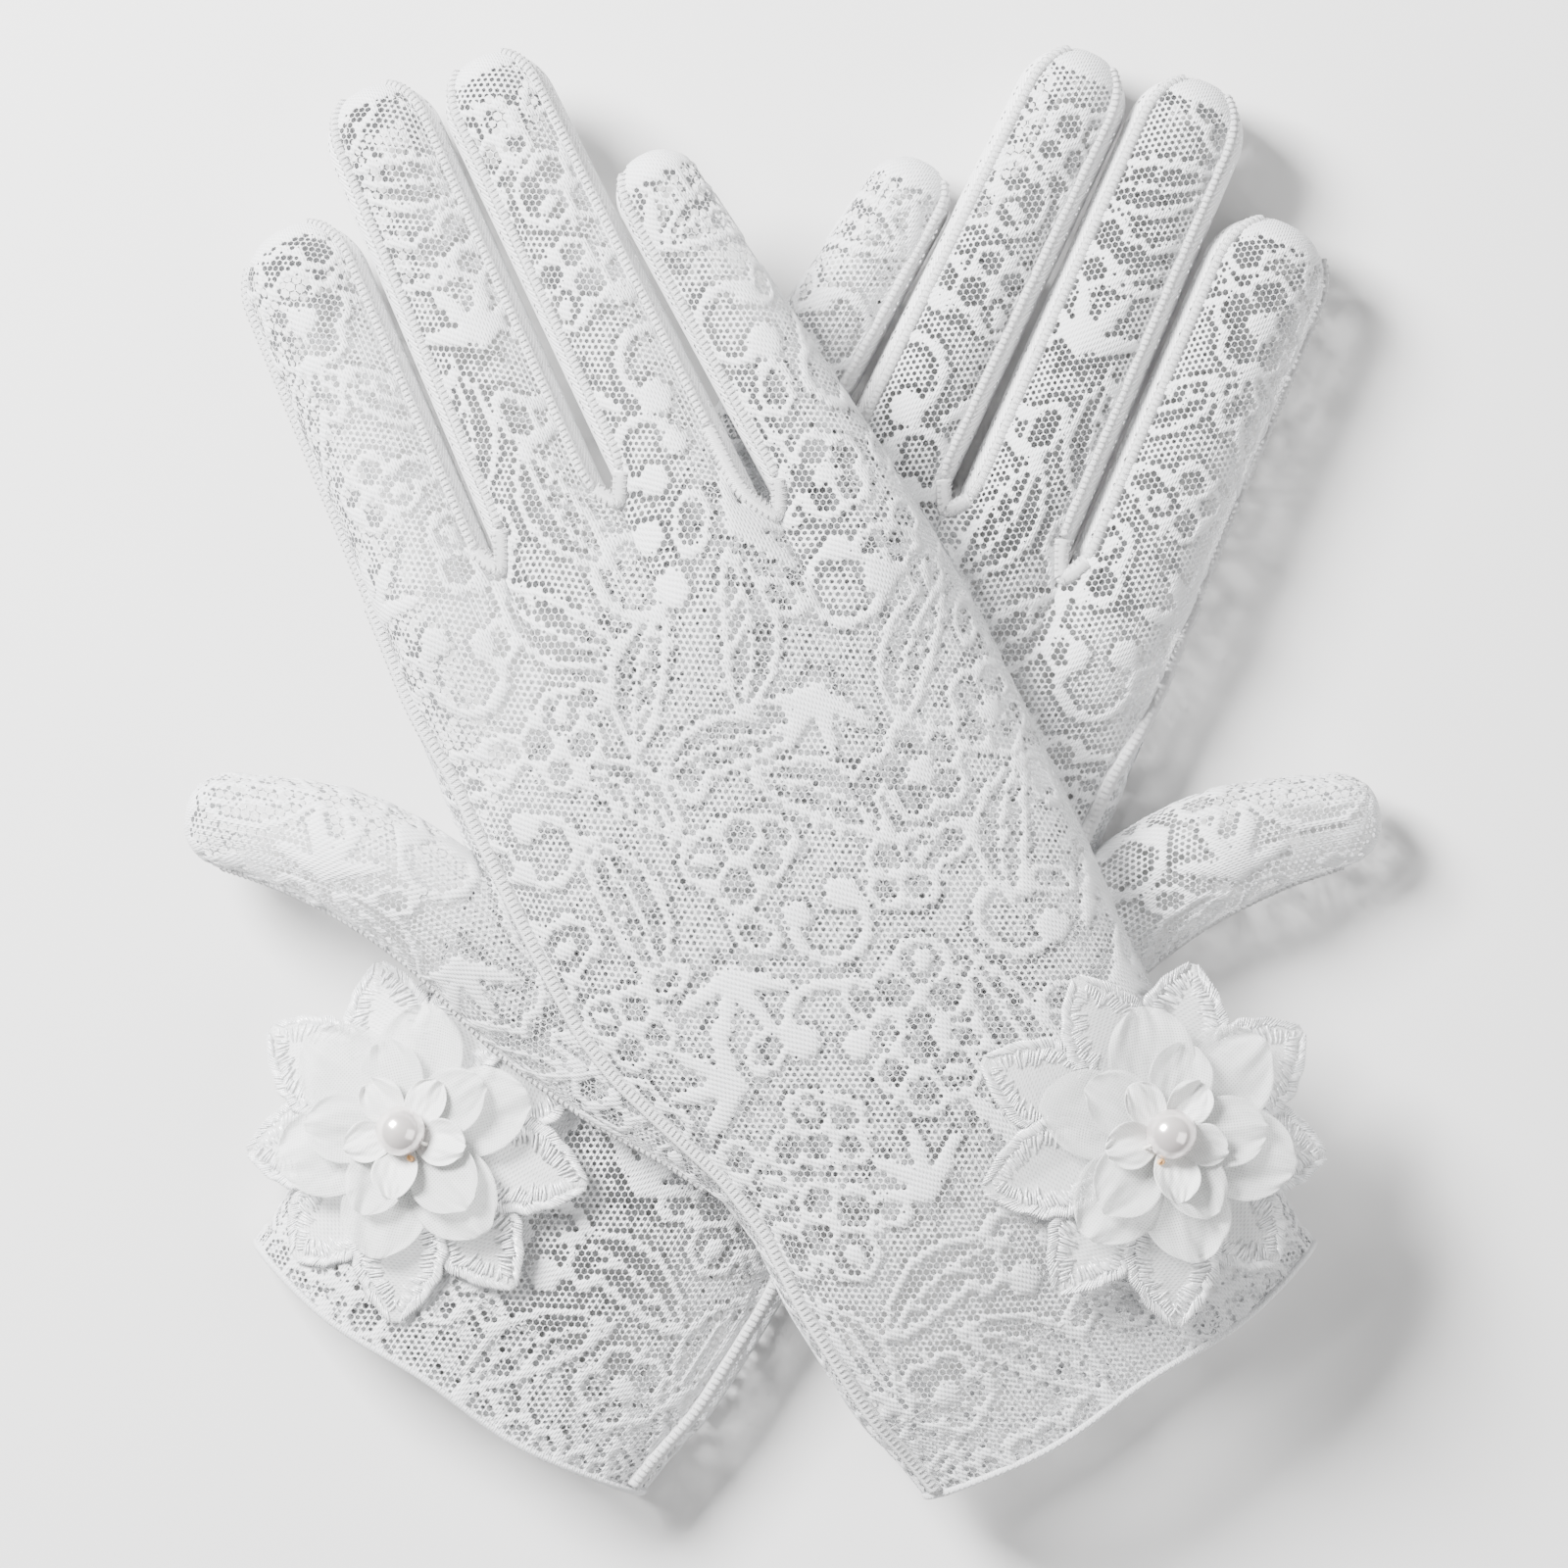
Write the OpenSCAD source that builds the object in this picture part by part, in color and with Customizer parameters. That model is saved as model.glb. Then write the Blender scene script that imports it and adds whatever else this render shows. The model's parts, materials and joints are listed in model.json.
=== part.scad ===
// A pair of short lace wedding gloves, laid crossed with the palms down.
// Each glove is drawn in its own frame: u across the hand (plus on the little-finger side),
// v from the cuff towards the fingertips and w up from the palm. right() and left() put the
// two gloves in their places. The right glove is on top and drapes over the left one.

/* [Hand] */
// Width of the palm at its widest
palm_width = 86; // [82:1:90]
// Width of the cuff at its edge
cuff_width = 70.6; // [66:0.2:74]
// Distance from the cuff edge to the knuckles of the middle finger
palm_length = 155.3; // [150:0.1:160]
// Height of a glove that keeps the shape of the hand
hand_height = 19; // [17:0.5:19.2]
// How full the back of the hand is: 1 is an ellipse, less is squarer
back_fullness = 0.62; // [0.5:0.02:0.8]
// Thickness of the lace
lace_t = 0.8; // [0.6:0.1:1]
// Height of the turned-up hem at the cuff
hem_height = 16; // [12:1:20]

/* [Fingers] */
// Length of the index finger from the knuckle line
index_length = 63.5; // [58:0.5:68]
// Length of the middle finger
middle_length = 77; // [70:0.5:82]
// Length of the ring finger
ring_length = 78; // [70:0.5:82]
// Length of the little finger
little_length = 60.5; // [56:0.5:64]
// Length of the thumb beyond its middle joint
thumb_length = 31.5; // [27:0.5:34]
// Radius of the index finger at the knuckle
index_radius = 10; // [9:0.1:10]
// Radius of the middle finger at the knuckle
middle_radius = 9.6; // [9:0.1:9.7]
// Radius of the ring finger at the knuckle
ring_radius = 9.4; // [9:0.1:9.5]
// Radius of the little finger at the knuckle
little_radius = 9.1; // [8.6:0.1:9.2]
// Radius of the thumb at its middle joint
thumb_radius = 9.4; // [8.8:0.1:9.6]

/* [Flower] */
// Radius of the embroidered lower petals at their points
lower_petal_r = 27.5; // [24:0.5:28]
// Number of lower petals
lower_petals_n = 9; // [7:1:10]
// Radius of the chiffon middle petals
middle_petal_r = 19; // [16:0.5:19]
// Number of middle petals
middle_petals_n = 6; // [5:1:7]
// Radius of the small inner petals
inner_petal_r = 11; // [9:0.5:12]
// Number of inner petals
inner_petals_n = 5; // [4:1:6]
// Diameter of the pearl
pearl_d = 7.6; // [7:0.2:8]
// Diameter of the thread that holds the pearl
thread_d = 0.7; // [0.6:0.1:0.8]

/* [Pose of the pair] */
// Angle between each glove and the middle line of the pair
cross_angle = 27.8; // [27:0.2:29]
// How far the top glove is lifted where it lies on the other one
drape_height = 20.5; // [20.4:0.1:24]

/* [Hidden] */

// Lift of the glove being drawn: right() and left() set it
$drape = 0;

lace_color = "#eef0f1";
seam_color = "#f7f8f8";
petal_color = "#f3f3f1";
pearl_color = "#f1e9de";

// Middle of the cuff edge of the top glove, from the middle of the pair
cuff_centre = [53.6, -92.9];

// The clearance between pieces of different bodies, and between layers of one body
joint_gap = 0.3;
layer_gap = 0.05;

width_scale = palm_width / 86;
cuff_half = cuff_width / 2;

// Outline of the hand, as [distance from the cuff, place across the hand]
radial_edge = [
    [0, -cuff_half], [40, -39.5], [60, -42.5 * width_scale], [80, -48.5 * width_scale],
    [94, -52 * width_scale], [125, -51 * width_scale], [160, -48 * width_scale]
];
ulnar_edge = [
    [0, cuff_half], [60, 31.5], [95, 33.5 * width_scale], [125, 34.3 * width_scale],
    [160, 33 * width_scale]
];

// The knuckle line runs straight across the index and middle fingers, then falls away
knuckle_line = [
    [-60, palm_length + 1.7], [-6.4, palm_length], [13.6, palm_length - 9.7],
    [45, palm_length - 19.3]
];
// The cuff edge is cut a little askew
cuff_line = [[-60, -5.5], [60, 5.5]];

// Fingers: base point, lean, radius at the base, radius at the tip, length, middle joint,
// slope of the draped finger, segment of the knuckle line that it starts from
INDEX = [-37.2, 156, 4.7, index_radius, index_radius - 0.4, index_length, 30, 0.21, 0];
MIDDLE = [-17.1, 155.6, 4.2, middle_radius, middle_radius - 0.5, middle_length, 36, 0.21, 0];
RING = [3.6, 150.4, 1.9, ring_radius, ring_radius - 0.8, ring_length, 38, 0.2, 1];
LITTLE = [24, 141.5, -3, little_radius, little_radius - 2.3, little_length, 35, 0.06, 2];
FINGERS = [INDEX, MIDDLE, RING, LITTLE];

// The thumb beyond its middle joint
thumb_joint = [-64.8, 125.2];
thumb_lean = -49;
thumb_slope = 0.3;
thumb_tip_r = thumb_radius - 2.3;
THUMB = [
    thumb_joint[0], thumb_joint[1], thumb_lean, thumb_radius, thumb_tip_r, thumb_length, 0,
    thumb_slope, 0
];

// Flower: its middle on the back of the hand, its lean and its height over the lace
flower_centre = [21, 33];
flower_tilt = 16;
flower_rise = 1.6;
// Thickness of the petals, and height of the pearl's middle over the flower's foot
petal_t = 0.5;
pearl_z = 7.4;
pearl_bore_d = thread_d + 0.16;

// The back of the hand is a row of sections; each has this many points over its arch
stations = 12;
arch_points = 16;

function mix(a, b, t) = a * (1 - t) + b * t;

// A ramp that leaves the plateau softly: zero long before the line, then straight
function soft_ramp(d) = (d + sqrt(d * d + 100)) / 2;

// Slopes of the top glove towards its fingers and its cuff, where they start, and how much
// farther along the hand they start for each mm across it
finger_slope = 0.22;
finger_slope_v = 152.5;
finger_slope_skew = 0.7;
cuff_slope = 0.3;
cuff_slope_v = 44;
cuff_slope_skew = 0.3;

// Height of the top glove over the table: it lies on the other glove and slopes down both ways
function lift(u, v) =
    $drape == 0 ? 0 :
    $drape - finger_slope * soft_ramp(v - finger_slope_v - finger_slope_skew * u)
    - cuff_slope * soft_ramp(cuff_slope_v + cuff_slope_skew * u - v);

function radial(v) = lookup(v, radial_edge);
function ulnar(v) = lookup(v, ulnar_edge);

// Point of the hand's section at distance v, deg round the arch, inset from the outside
function section(v, deg, inset, base) =
    let (
        right = ulnar(v) - inset,
        left = radial(v) + inset
    )
    [
        (right + left) / 2 + (right - left) / 2 * cos(deg),
        base + (hand_height - inset - base) * pow(sin(deg), back_fullness)
    ];

// The same point in the glove's frame, at fraction t of the way to the knuckle line
function on_hand(t, deg, inset, base) =
    let (
        p = section(t * palm_length, deg, inset, base),
        v = mix(lookup(p[0], cuff_line), lookup(p[0], knuckle_line), t)
    )
    [p[0], v, p[1] + lift(p[0], v)];

function on_palm(t, side, w) =
    let (
        u = mix(radial(t * palm_length), ulnar(t * palm_length), side),
        v = mix(lookup(u, cuff_line), lookup(u, knuckle_line), t)
    )
    [u, v, w + lift(u, v)];

function back_height(u, v) =
    let (
        half = (ulnar(v) - radial(v)) / 2,
        across = (u - (ulnar(v) + radial(v)) / 2) / half
    )
    abs(across) >= 1 ? 0 : hand_height * pow(1 - across * across, back_fullness / 2);

function quad(a, b, c, d) = [[a, b, c], [a, c, d]];

// Closed shell between two point grids of one size; with wrap the columns close on themselves
module grid_shell(outer, inner, wrap = false) {
    rows = len(outer);
    cols = len(outer[0]);
    other = rows * cols;
    last = wrap ? cols - 1 : cols - 2;
    function at(i, j) = i * cols + j % cols;
    skins = [
        for (i = [0 : rows - 2], j = [0 : last])
            each concat(
                quad(at(i, j), at(i, j + 1), at(i + 1, j + 1), at(i + 1, j)),
                quad(
                    other + at(i, j), other + at(i + 1, j),
                    other + at(i + 1, j + 1), other + at(i, j + 1)
                )
            )
    ];
    ends = [
        for (j = [0 : last])
            each concat(
                quad(at(0, j), other + at(0, j), other + at(0, j + 1), at(0, j + 1)),
                quad(
                    at(rows - 1, j), at(rows - 1, j + 1),
                    other + at(rows - 1, j + 1), other + at(rows - 1, j)
                )
            )
    ];
    sides = wrap ? [] : [
        for (i = [0 : rows - 2])
            each concat(
                quad(at(i, 0), at(i + 1, 0), other + at(i + 1, 0), other + at(i, 0)),
                quad(
                    at(i, cols - 1), other + at(i, cols - 1),
                    other + at(i + 1, cols - 1), at(i + 1, cols - 1)
                )
            )
    ];
    polyhedron(
        points = concat([for (row = outer) each row], [for (row = inner) each row]),
        faces = concat(skins, ends, sides)
    );
}

// Solid swept through closed rings of points
module sweep(rings) {
    cols = len(rings[0]);
    function at(i, j) = i * cols + j % cols;
    walls = [
        for (i = [0 : len(rings) - 2], j = [0 : cols - 1])
            each quad(at(i, j), at(i, j + 1), at(i + 1, j + 1), at(i + 1, j))
    ];
    first = [for (j = [1 : cols - 2]) [at(0, 0), at(0, j + 1), at(0, j)]];
    last = [
        for (j = [1 : cols - 2])
            [at(len(rings) - 1, 0), at(len(rings) - 1, j), at(len(rings) - 1, j + 1)]
    ];
    polyhedron(points = [for (ring = rings) each ring], faces = concat(walls, first, last));
}

// ---- Hand ----

module back_lace() {
    grid = function (inset)
        [
            for (i = [0 : stations])
                [
                    for (j = [0 : arch_points])
                        on_hand(i / stations, 180 * j / arch_points, inset, lace_t + layer_gap)
                ]
        ];
    color(lace_color) grid_shell(grid(0), grid(lace_t));
}

// The palm of the flat glove is a true plane; the palm of the draped one follows the lift
module palm_lace() {
    sheet = function (w)
        [for (i = [0 : stations]) [for (j = [0 : 8]) on_palm(i / stations, j / 8, w)]];
    edge = function (side) [for (i = [0 : stations]) on_palm(i / stations, side, 0)];
    knuckles = [for (p = [1, 2]) knuckle_line[p]];
    color(lace_color)
        if ($drape == 0) {
            outline = concat(
                edge(0), knuckles, [for (i = [0 : stations]) edge(1)[stations - i]]
            );
            linear_extrude(lace_t) polygon([for (p = outline) [p[0], p[1]]]);
        } else {
            grid_shell(sheet(lace_t), sheet(0));
        }
}

// Piping-like seam down the thumb side of the hand
module side_seam() {
    seam_r = 0.9;
    seam_deg = 158;
    rings = [
        for (i = [0 : stations])
            let (
                t = mix(0.02, 0.985, i / stations),
                near = on_hand(t, seam_deg, 0, lace_t),
                out = [-1, 0.55] * (seam_r + layer_gap)
            )
            [
                for (k = [0 : 7])
                    near + [
                        out[0] + seam_r * cos(-45 * k), 0, out[1] + seam_r * sin(-45 * k)
                    ]
            ]
    ];
    color(seam_color) sweep(rings);
}

// The cuff is turned up inside and sewn down: a second layer against the first
module hem_band() {
    loop = function (inset)
        [
            for (i = [0 : 2])
                let (t = hem_height / palm_length * i / 2)
                concat(
                    [for (j = [0 : arch_points]) on_hand(t, 180 * j / arch_points, inset, inset)],
                    [for (j = [1 : 7]) on_palm_inset(t, j / 8, inset)]
                )
        ];
    color(lace_color) grid_shell(loop(lace_t + 2 * layer_gap), loop(2 * lace_t), wrap = true);
}

function on_palm_inset(t, side, inset) =
    let (
        v0 = t * palm_length,
        u = mix(radial(v0) + inset, ulnar(v0) - inset, side),
        v = mix(lookup(u, cuff_line), lookup(u, knuckle_line), t)
    )
    [u, v, inset + lift(u, v)];

// ---- Fingers ----

// How far a finger points down, so that its lower side lies flat or follows the drape
function finger_pitch(f) =
    max(atan((f[3] - f[4]) / (f[5] - f[4])), $drape == 0 ? 0 : atan(f[7]));

// Frame of a finger: its axis is +Y from the knuckle, and +Z is its back
module finger_frame(f) {
    translate([f[0], f[1], f[3] + 0.1 + lift(f[0], f[1])])
        rotate([-finger_pitch(f), 0, -f[2]])
            children();
}

function finger_r(f, y) = mix(f[3], f[4], y / (f[5] - f[4]));

// Wall of a finger from y0 to y1 along its axis and from deg0 to deg1 round it (90 is the back)
module wall(f, y0, y1, deg0, deg1) {
    rotate([-90, 0, 0])
        rotate([0, 0, -deg1])
            rotate_extrude(angle = deg1 - deg0, $fn = 72)
                polygon([
                    [finger_r(f, y0) - lace_t, y0], [finger_r(f, y0), y0],
                    [finger_r(f, y1), y1], [finger_r(f, y1) - lace_t, y1]
                ]);
}

// Rounded tip of a finger over the same angles
module tip(f, deg0, deg1) {
    rotate([-90, 0, 0])
        rotate([0, 0, -deg1])
            rotate_extrude(angle = deg1 - deg0, $fn = 72)
                translate([0, f[5] - f[4]])
                    intersection() {
                        difference() {
                            circle(r = f[4], $fn = 72);
                            circle(r = f[4] - lace_t, $fn = 72);
                        }
                        square(f[4] + 1);
                    }
}

// Piece of a finger beyond its middle joint
module outer_piece(f, deg0, deg1) {
    finger_frame(f) {
        wall(f, f[6] + joint_gap / 2, f[5] - f[4], deg0, deg1);
        tip(f, deg0, deg1);
    }
}

// Piece of a finger between the knuckle line and its middle joint
module inner_piece(f, deg0, deg1) {
    a = knuckle_line[f[8]];
    b = knuckle_line[f[8] + 1];
    reach = 200;
    below = 20;
    root = -16;
    intersection() {
        finger_frame(f) wall(f, root, f[6] - joint_gap / 2, deg0, deg1);
        translate([a[0], a[1], -below])
            rotate([0, 0, atan2(b[1] - a[1], b[0] - a[0])])
                translate([-reach / 2, joint_gap, 0])
                    cube([reach, reach, 4 * below]);
    }
}

// Angles round each finger that belong to its back, its palm and its side strips
index_back_deg = [40, 180];
index_palm_deg = [180, 320];
mid_back_deg = [40, 140];
mid_palm_deg = [220, 320];
little_back_deg = [0, 140];
little_palm_deg = [220, 360];
ulnar_strip_deg = [-40, 40];
radial_strip_deg = [140, 220];

module finger_base_backs() {
    color(lace_color) {
        inner_piece(INDEX, index_back_deg[0], index_back_deg[1]);
        inner_piece(MIDDLE, mid_back_deg[0], mid_back_deg[1]);
        inner_piece(RING, mid_back_deg[0], mid_back_deg[1]);
        inner_piece(LITTLE, little_back_deg[0], little_back_deg[1]);
    }
}

module finger_base_palms() {
    color(lace_color) {
        inner_piece(INDEX, index_palm_deg[0], index_palm_deg[1]);
        inner_piece(MIDDLE, mid_palm_deg[0], mid_palm_deg[1]);
        inner_piece(RING, mid_palm_deg[0], mid_palm_deg[1]);
        inner_piece(LITTLE, little_palm_deg[0], little_palm_deg[1]);
    }
}

// Plain strips between the fingers, with the fold of the strip at each web
module fourchettes() {
    color(seam_color) {
        for (f = [INDEX, MIDDLE, RING])
            inner_piece(f, ulnar_strip_deg[0], ulnar_strip_deg[1]);
        for (f = [MIDDLE, RING, LITTLE])
            inner_piece(f, radial_strip_deg[0], radial_strip_deg[1]);
        for (k = [0 : 2])
            web_fold(FINGERS[k], FINGERS[k + 1]);
    }
}

// Short rounded fold that closes the gap between two fingers at the knuckles
module web_fold(f, g) {
    fold_r = 1.2;
    fold_length = 6;
    u = (f[0] + f[3] + g[0] - g[3]) / 2;
    v = lookup(u, knuckle_line) + 2 + fold_r;
    w = 2 * min(f[3], g[3]) - fold_r - 0.4;
    translate([u, v, w + lift(u, v) + ($drape == 0 ? 0 : 0.9)]) {
        sphere(fold_r, $fn = 24);
        rotate([-90 - atan(f[7]) * sign($drape), 0, 0])
            cylinder(fold_length, r = fold_r, $fn = 24);
    }
}

module index_back() {
    color(lace_color) outer_piece(INDEX, index_back_deg[0], index_back_deg[1]);
}

module index_palm() {
    color(lace_color) outer_piece(INDEX, index_palm_deg[0], index_palm_deg[1]);
}

module index_fourchette() {
    color(seam_color) outer_piece(INDEX, ulnar_strip_deg[0], ulnar_strip_deg[1]);
}

// Raised seam along the outer side of a finger or thumb, from near its joint to its tip
module finger_seam(f) {
    seam_r = 0.8;
    taper = atan((f[3] - f[4]) / (f[5] - f[4]));
    from = f[6] + 1;
    finger_frame(f)
        translate([-finger_r(f, from) - seam_r - layer_gap, from, 0])
            rotate([-90, 0, -taper])
                cylinder(f[5] - f[4] - from, r = seam_r, $fn = 24);
}

module index_seam() {
    color(seam_color) finger_seam(INDEX);
}

module middle_back() {
    color(lace_color) outer_piece(MIDDLE, mid_back_deg[0], mid_back_deg[1]);
}

module middle_palm() {
    color(lace_color) outer_piece(MIDDLE, mid_palm_deg[0], mid_palm_deg[1]);
}

module middle_fourchettes() {
    color(seam_color) {
        outer_piece(MIDDLE, ulnar_strip_deg[0], ulnar_strip_deg[1]);
        outer_piece(MIDDLE, radial_strip_deg[0], radial_strip_deg[1]);
    }
}

module ring_back() {
    color(lace_color) outer_piece(RING, mid_back_deg[0], mid_back_deg[1]);
}

module ring_palm() {
    color(lace_color) outer_piece(RING, mid_palm_deg[0], mid_palm_deg[1]);
}

module ring_fourchettes() {
    color(seam_color) {
        outer_piece(RING, ulnar_strip_deg[0], ulnar_strip_deg[1]);
        outer_piece(RING, radial_strip_deg[0], radial_strip_deg[1]);
    }
}

module little_back() {
    color(lace_color) outer_piece(LITTLE, little_back_deg[0], little_back_deg[1]);
}

module little_palm() {
    color(lace_color) outer_piece(LITTLE, little_palm_deg[0], little_palm_deg[1]);
}

module little_fourchette() {
    color(seam_color) outer_piece(LITTLE, radial_strip_deg[0], radial_strip_deg[1]);
}

// ---- Thumb ----

// Gusset and lower half of the thumb: it opens from the side of the hand to the middle joint
gusset_half_height = 5.5;
gusset_low = [-44, 60];
gusset_high = [-52, 120];
// Distance between the side of the hand and the gusset's inner edge
side_gap = 2.3;
base_rings = 7;

function bend(a, b, c, t) = mix(mix(a, b, t), mix(b, c, t), t);

function gusset_point(t, deg, inset) =
    let (
        across = [cos(-thumb_lean), sin(-thumb_lean)],
        low = bend(gusset_low, [-62, 92], thumb_joint - across * thumb_radius, t),
        high = bend(gusset_high, [-55, 126], thumb_joint + across * thumb_radius, t),
        half_w = mix(gusset_half_height, thumb_radius, t),
        along = (1 - inset / (norm(high - low) / 2)) * cos(deg),
        p = mix(low, high, (1 + along) / 2),
        chord = mix(gusset_low[0], gusset_high[0], (p[1] - gusset_low[1]) / 60),
        side = radial(p[1]) - side_gap - chord,
        u = p[0] + side * pow(1 - t, 2) - joint_gap * 2
    )
    [u, p[1], 0.1 + half_w + (half_w - inset) * sin(deg) + lift(u, p[1])];

// Point on the round mouth of the base, just short of the thumb's tip piece
function mouth_point(deg, inset) =
    let (
        r = thumb_radius - inset,
        pitch = finger_pitch(THUMB),
        ahead = -2 * joint_gap * cos(pitch) + r * sin(deg) * sin(pitch),
        up = 2 * joint_gap * sin(pitch) + r * sin(deg) * cos(pitch),
        lean = thumb_lean,
        floor_w = thumb_radius + 0.1 + lift(thumb_joint[0], thumb_joint[1])
    )
    [
        thumb_joint[0] + r * cos(deg) * cos(lean) + ahead * sin(lean),
        thumb_joint[1] - r * cos(deg) * sin(lean) + ahead * cos(lean),
        floor_w + up
    ];

module thumb_base() {
    loop = function (inset)
        [
            for (i = [0 : base_rings])
                let (t = i / base_rings)
                [
                    for (k = [0 : 19])
                        mix(gusset_point(t, 18 * k, inset), mouth_point(18 * k, inset), pow(t, 2))
                ]
        ];
    color(lace_color) grid_shell(loop(0), loop(lace_t), wrap = true);
}

module thumb_back() {
    color(lace_color) outer_piece(THUMB, 0, 180);
}

module thumb_palm() {
    color(lace_color) outer_piece(THUMB, 180, 360);
}

module thumb_seam() {
    color(seam_color) finger_seam(THUMB);
}

// ---- Flower ----

// Frame of the flower: +Z is its face, leaning with the side of the hand
module flower_frame() {
    u = flower_centre[0];
    v = flower_centre[1];
    translate([u, v, back_height(u, v) + lift(u, v) + flower_rise])
        rotate([0, flower_tilt, 0])
            children();
}

// The lower petals drape over the back of the hand and hang free past its edge
function petal_rim(deg) =
    let (wave = abs(2 * (deg * lower_petals_n / 360 % 1) - 1))
    lower_petal_r * (1 - 0.25 * pow(wave, 1.3));

function draped(deg, s, rise) =
    let (
        r = mix(0.9, petal_rim(deg), s),
        u = flower_centre[0] + r * cos(deg),
        v = flower_centre[1] + r * sin(deg),
        free_edge = hand_height * 0.55
    )
    [u, v, max(back_height(u, v), free_edge) + rise + lift(u, v)];

module lower_petals() {
    steps = lower_petals_n * 4;
    layer = function (rise)
        [for (i = [0 : 4]) [for (j = [0 : steps - 1]) draped(360 * j / steps, i / 4, rise)]];
    color(petal_color)
        grid_shell(layer(0.5), layer(0.5 + petal_t), wrap = true);
}

// Ring of cupped petals with a hole for the thread
module petal_cup(count, r, rise, turn) {
    width_r = r * 0.32;
    intersection() {
        rotate_extrude($fn = 72)
            polygon([
                [thread_d * 4, 0], [r + 1, rise], [r + 1, rise + petal_t], [thread_d * 4, petal_t]
            ]);
        linear_extrude(rise + 2)
            union() {
                circle(r = r * 0.4, $fn = 48);
                for (k = [0 : count - 1])
                    rotate(360 * k / count + turn) {
                        translate([r - width_r, 0]) circle(r = width_r, $fn = 48);
                        polygon([
                            [0, -width_r * 0.5], [r - width_r, -width_r],
                            [r - width_r, width_r], [0, width_r * 0.5]
                        ]);
                    }
            }
    }
}

module middle_petals() {
    color(petal_color)
        flower_frame() translate([0, 0, 1.2]) petal_cup(middle_petals_n, middle_petal_r, 5, 12);
}

module inner_petals() {
    color(petal_color)
        flower_frame() translate([0, 0, 2.4]) petal_cup(inner_petals_n, inner_petal_r, 4, 40);
}

// One stitch: up through the petals, through the pearl and down again
module pearl_thread() {
    leg = pearl_d / 2 + 0.9;
    foot = 3.9;
    color(seam_color)
        flower_frame() {
            translate([-leg, 0, pearl_z]) rotate([0, 90, 0]) cylinder(2 * leg, d = thread_d, $fn = 24);
            for (side = [-1, 1])
                translate([side * leg, 0, foot]) cylinder(pearl_z - foot, d = thread_d, $fn = 24);
        }
}

module pearl() {
    color(pearl_color)
        flower_frame()
            translate([0, 0, pearl_z])
                rotate([0, 90, 0])
                    rotate_extrude($fn = 64)
                        intersection() {
                            circle(d = pearl_d, $fn = 64);
                            translate([pearl_bore_d / 2, -pearl_d / 2]) square(pearl_d);
                        }
}

// ---- The pair ----

module right() {
    $drape = drape_height;
    translate([cuff_centre[0], cuff_centre[1], 0]) rotate([0, 0, cross_angle]) children();
}

module left() {
    $drape = 0;
    mirror([1, 0, 0])
        translate([cuff_centre[0], cuff_centre[1], 0])
            rotate([0, 0, cross_angle])
                children();
}

left() palm_lace();  // left_palm_lace
left() back_lace();  // left_back_lace
left() side_seam();  // left_side_seam
left() hem_band();  // left_hem_band
left() finger_base_backs();  // left_finger_base_backs
left() finger_base_palms();  // left_finger_base_palms
left() fourchettes();  // left_fourchettes
left() thumb_base();  // left_thumb_base
left() index_back();  // left_index_back
left() index_palm();  // left_index_palm
left() index_fourchette();  // left_index_fourchette
left() index_seam();  // left_index_seam
left() middle_back();  // left_middle_back
left() middle_palm();  // left_middle_palm
left() middle_fourchettes();  // left_middle_fourchettes
left() ring_back();  // left_ring_back
left() ring_palm();  // left_ring_palm
left() ring_fourchettes();  // left_ring_fourchettes
left() little_back();  // left_little_back
left() little_palm();  // left_little_palm
left() little_fourchette();  // left_little_fourchette
left() thumb_back();  // left_thumb_back
left() thumb_palm();  // left_thumb_palm
left() thumb_seam();  // left_thumb_seam
left() lower_petals();  // left_lower_petals
left() middle_petals();  // left_middle_petals
left() inner_petals();  // left_inner_petals
left() pearl_thread();  // left_pearl_thread
left() pearl();  // left_pearl
right() palm_lace();  // right_palm_lace
right() back_lace();  // right_back_lace
right() side_seam();  // right_side_seam
right() hem_band();  // right_hem_band
right() finger_base_backs();  // right_finger_base_backs
right() finger_base_palms();  // right_finger_base_palms
right() fourchettes();  // right_fourchettes
right() thumb_base();  // right_thumb_base
right() index_back();  // right_index_back
right() index_palm();  // right_index_palm
right() index_fourchette();  // right_index_fourchette
right() index_seam();  // right_index_seam
right() middle_back();  // right_middle_back
right() middle_palm();  // right_middle_palm
right() middle_fourchettes();  // right_middle_fourchettes
right() ring_back();  // right_ring_back
right() ring_palm();  // right_ring_palm
right() ring_fourchettes();  // right_ring_fourchettes
right() little_back();  // right_little_back
right() little_palm();  // right_little_palm
right() little_fourchette();  // right_little_fourchette
right() thumb_back();  // right_thumb_back
right() thumb_palm();  // right_thumb_palm
right() thumb_seam();  // right_thumb_seam
right() lower_petals();  // right_lower_petals
right() middle_petals();  // right_middle_petals
right() inner_petals();  // right_inner_petals
right() pearl_thread();  // right_pearl_thread
right() pearl();  // right_pearl
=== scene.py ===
"""A pair of white lace wedding gloves, laid crossed and palm down, with a fabric flower on each cuff.

Each glove is built in its own frame, in millimetres: u runs across the hand (plus on the
little-finger side), v from the cuff towards the fingertips, and w up from the palm. The lace is
real openwork: a lattice of six-sided cells is laid over the glove's flat pattern (U, V), each cell
gets a hole whose size follows the lace's motifs, and the lattice is wrapped on the glove.
"""

import json
import math

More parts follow.
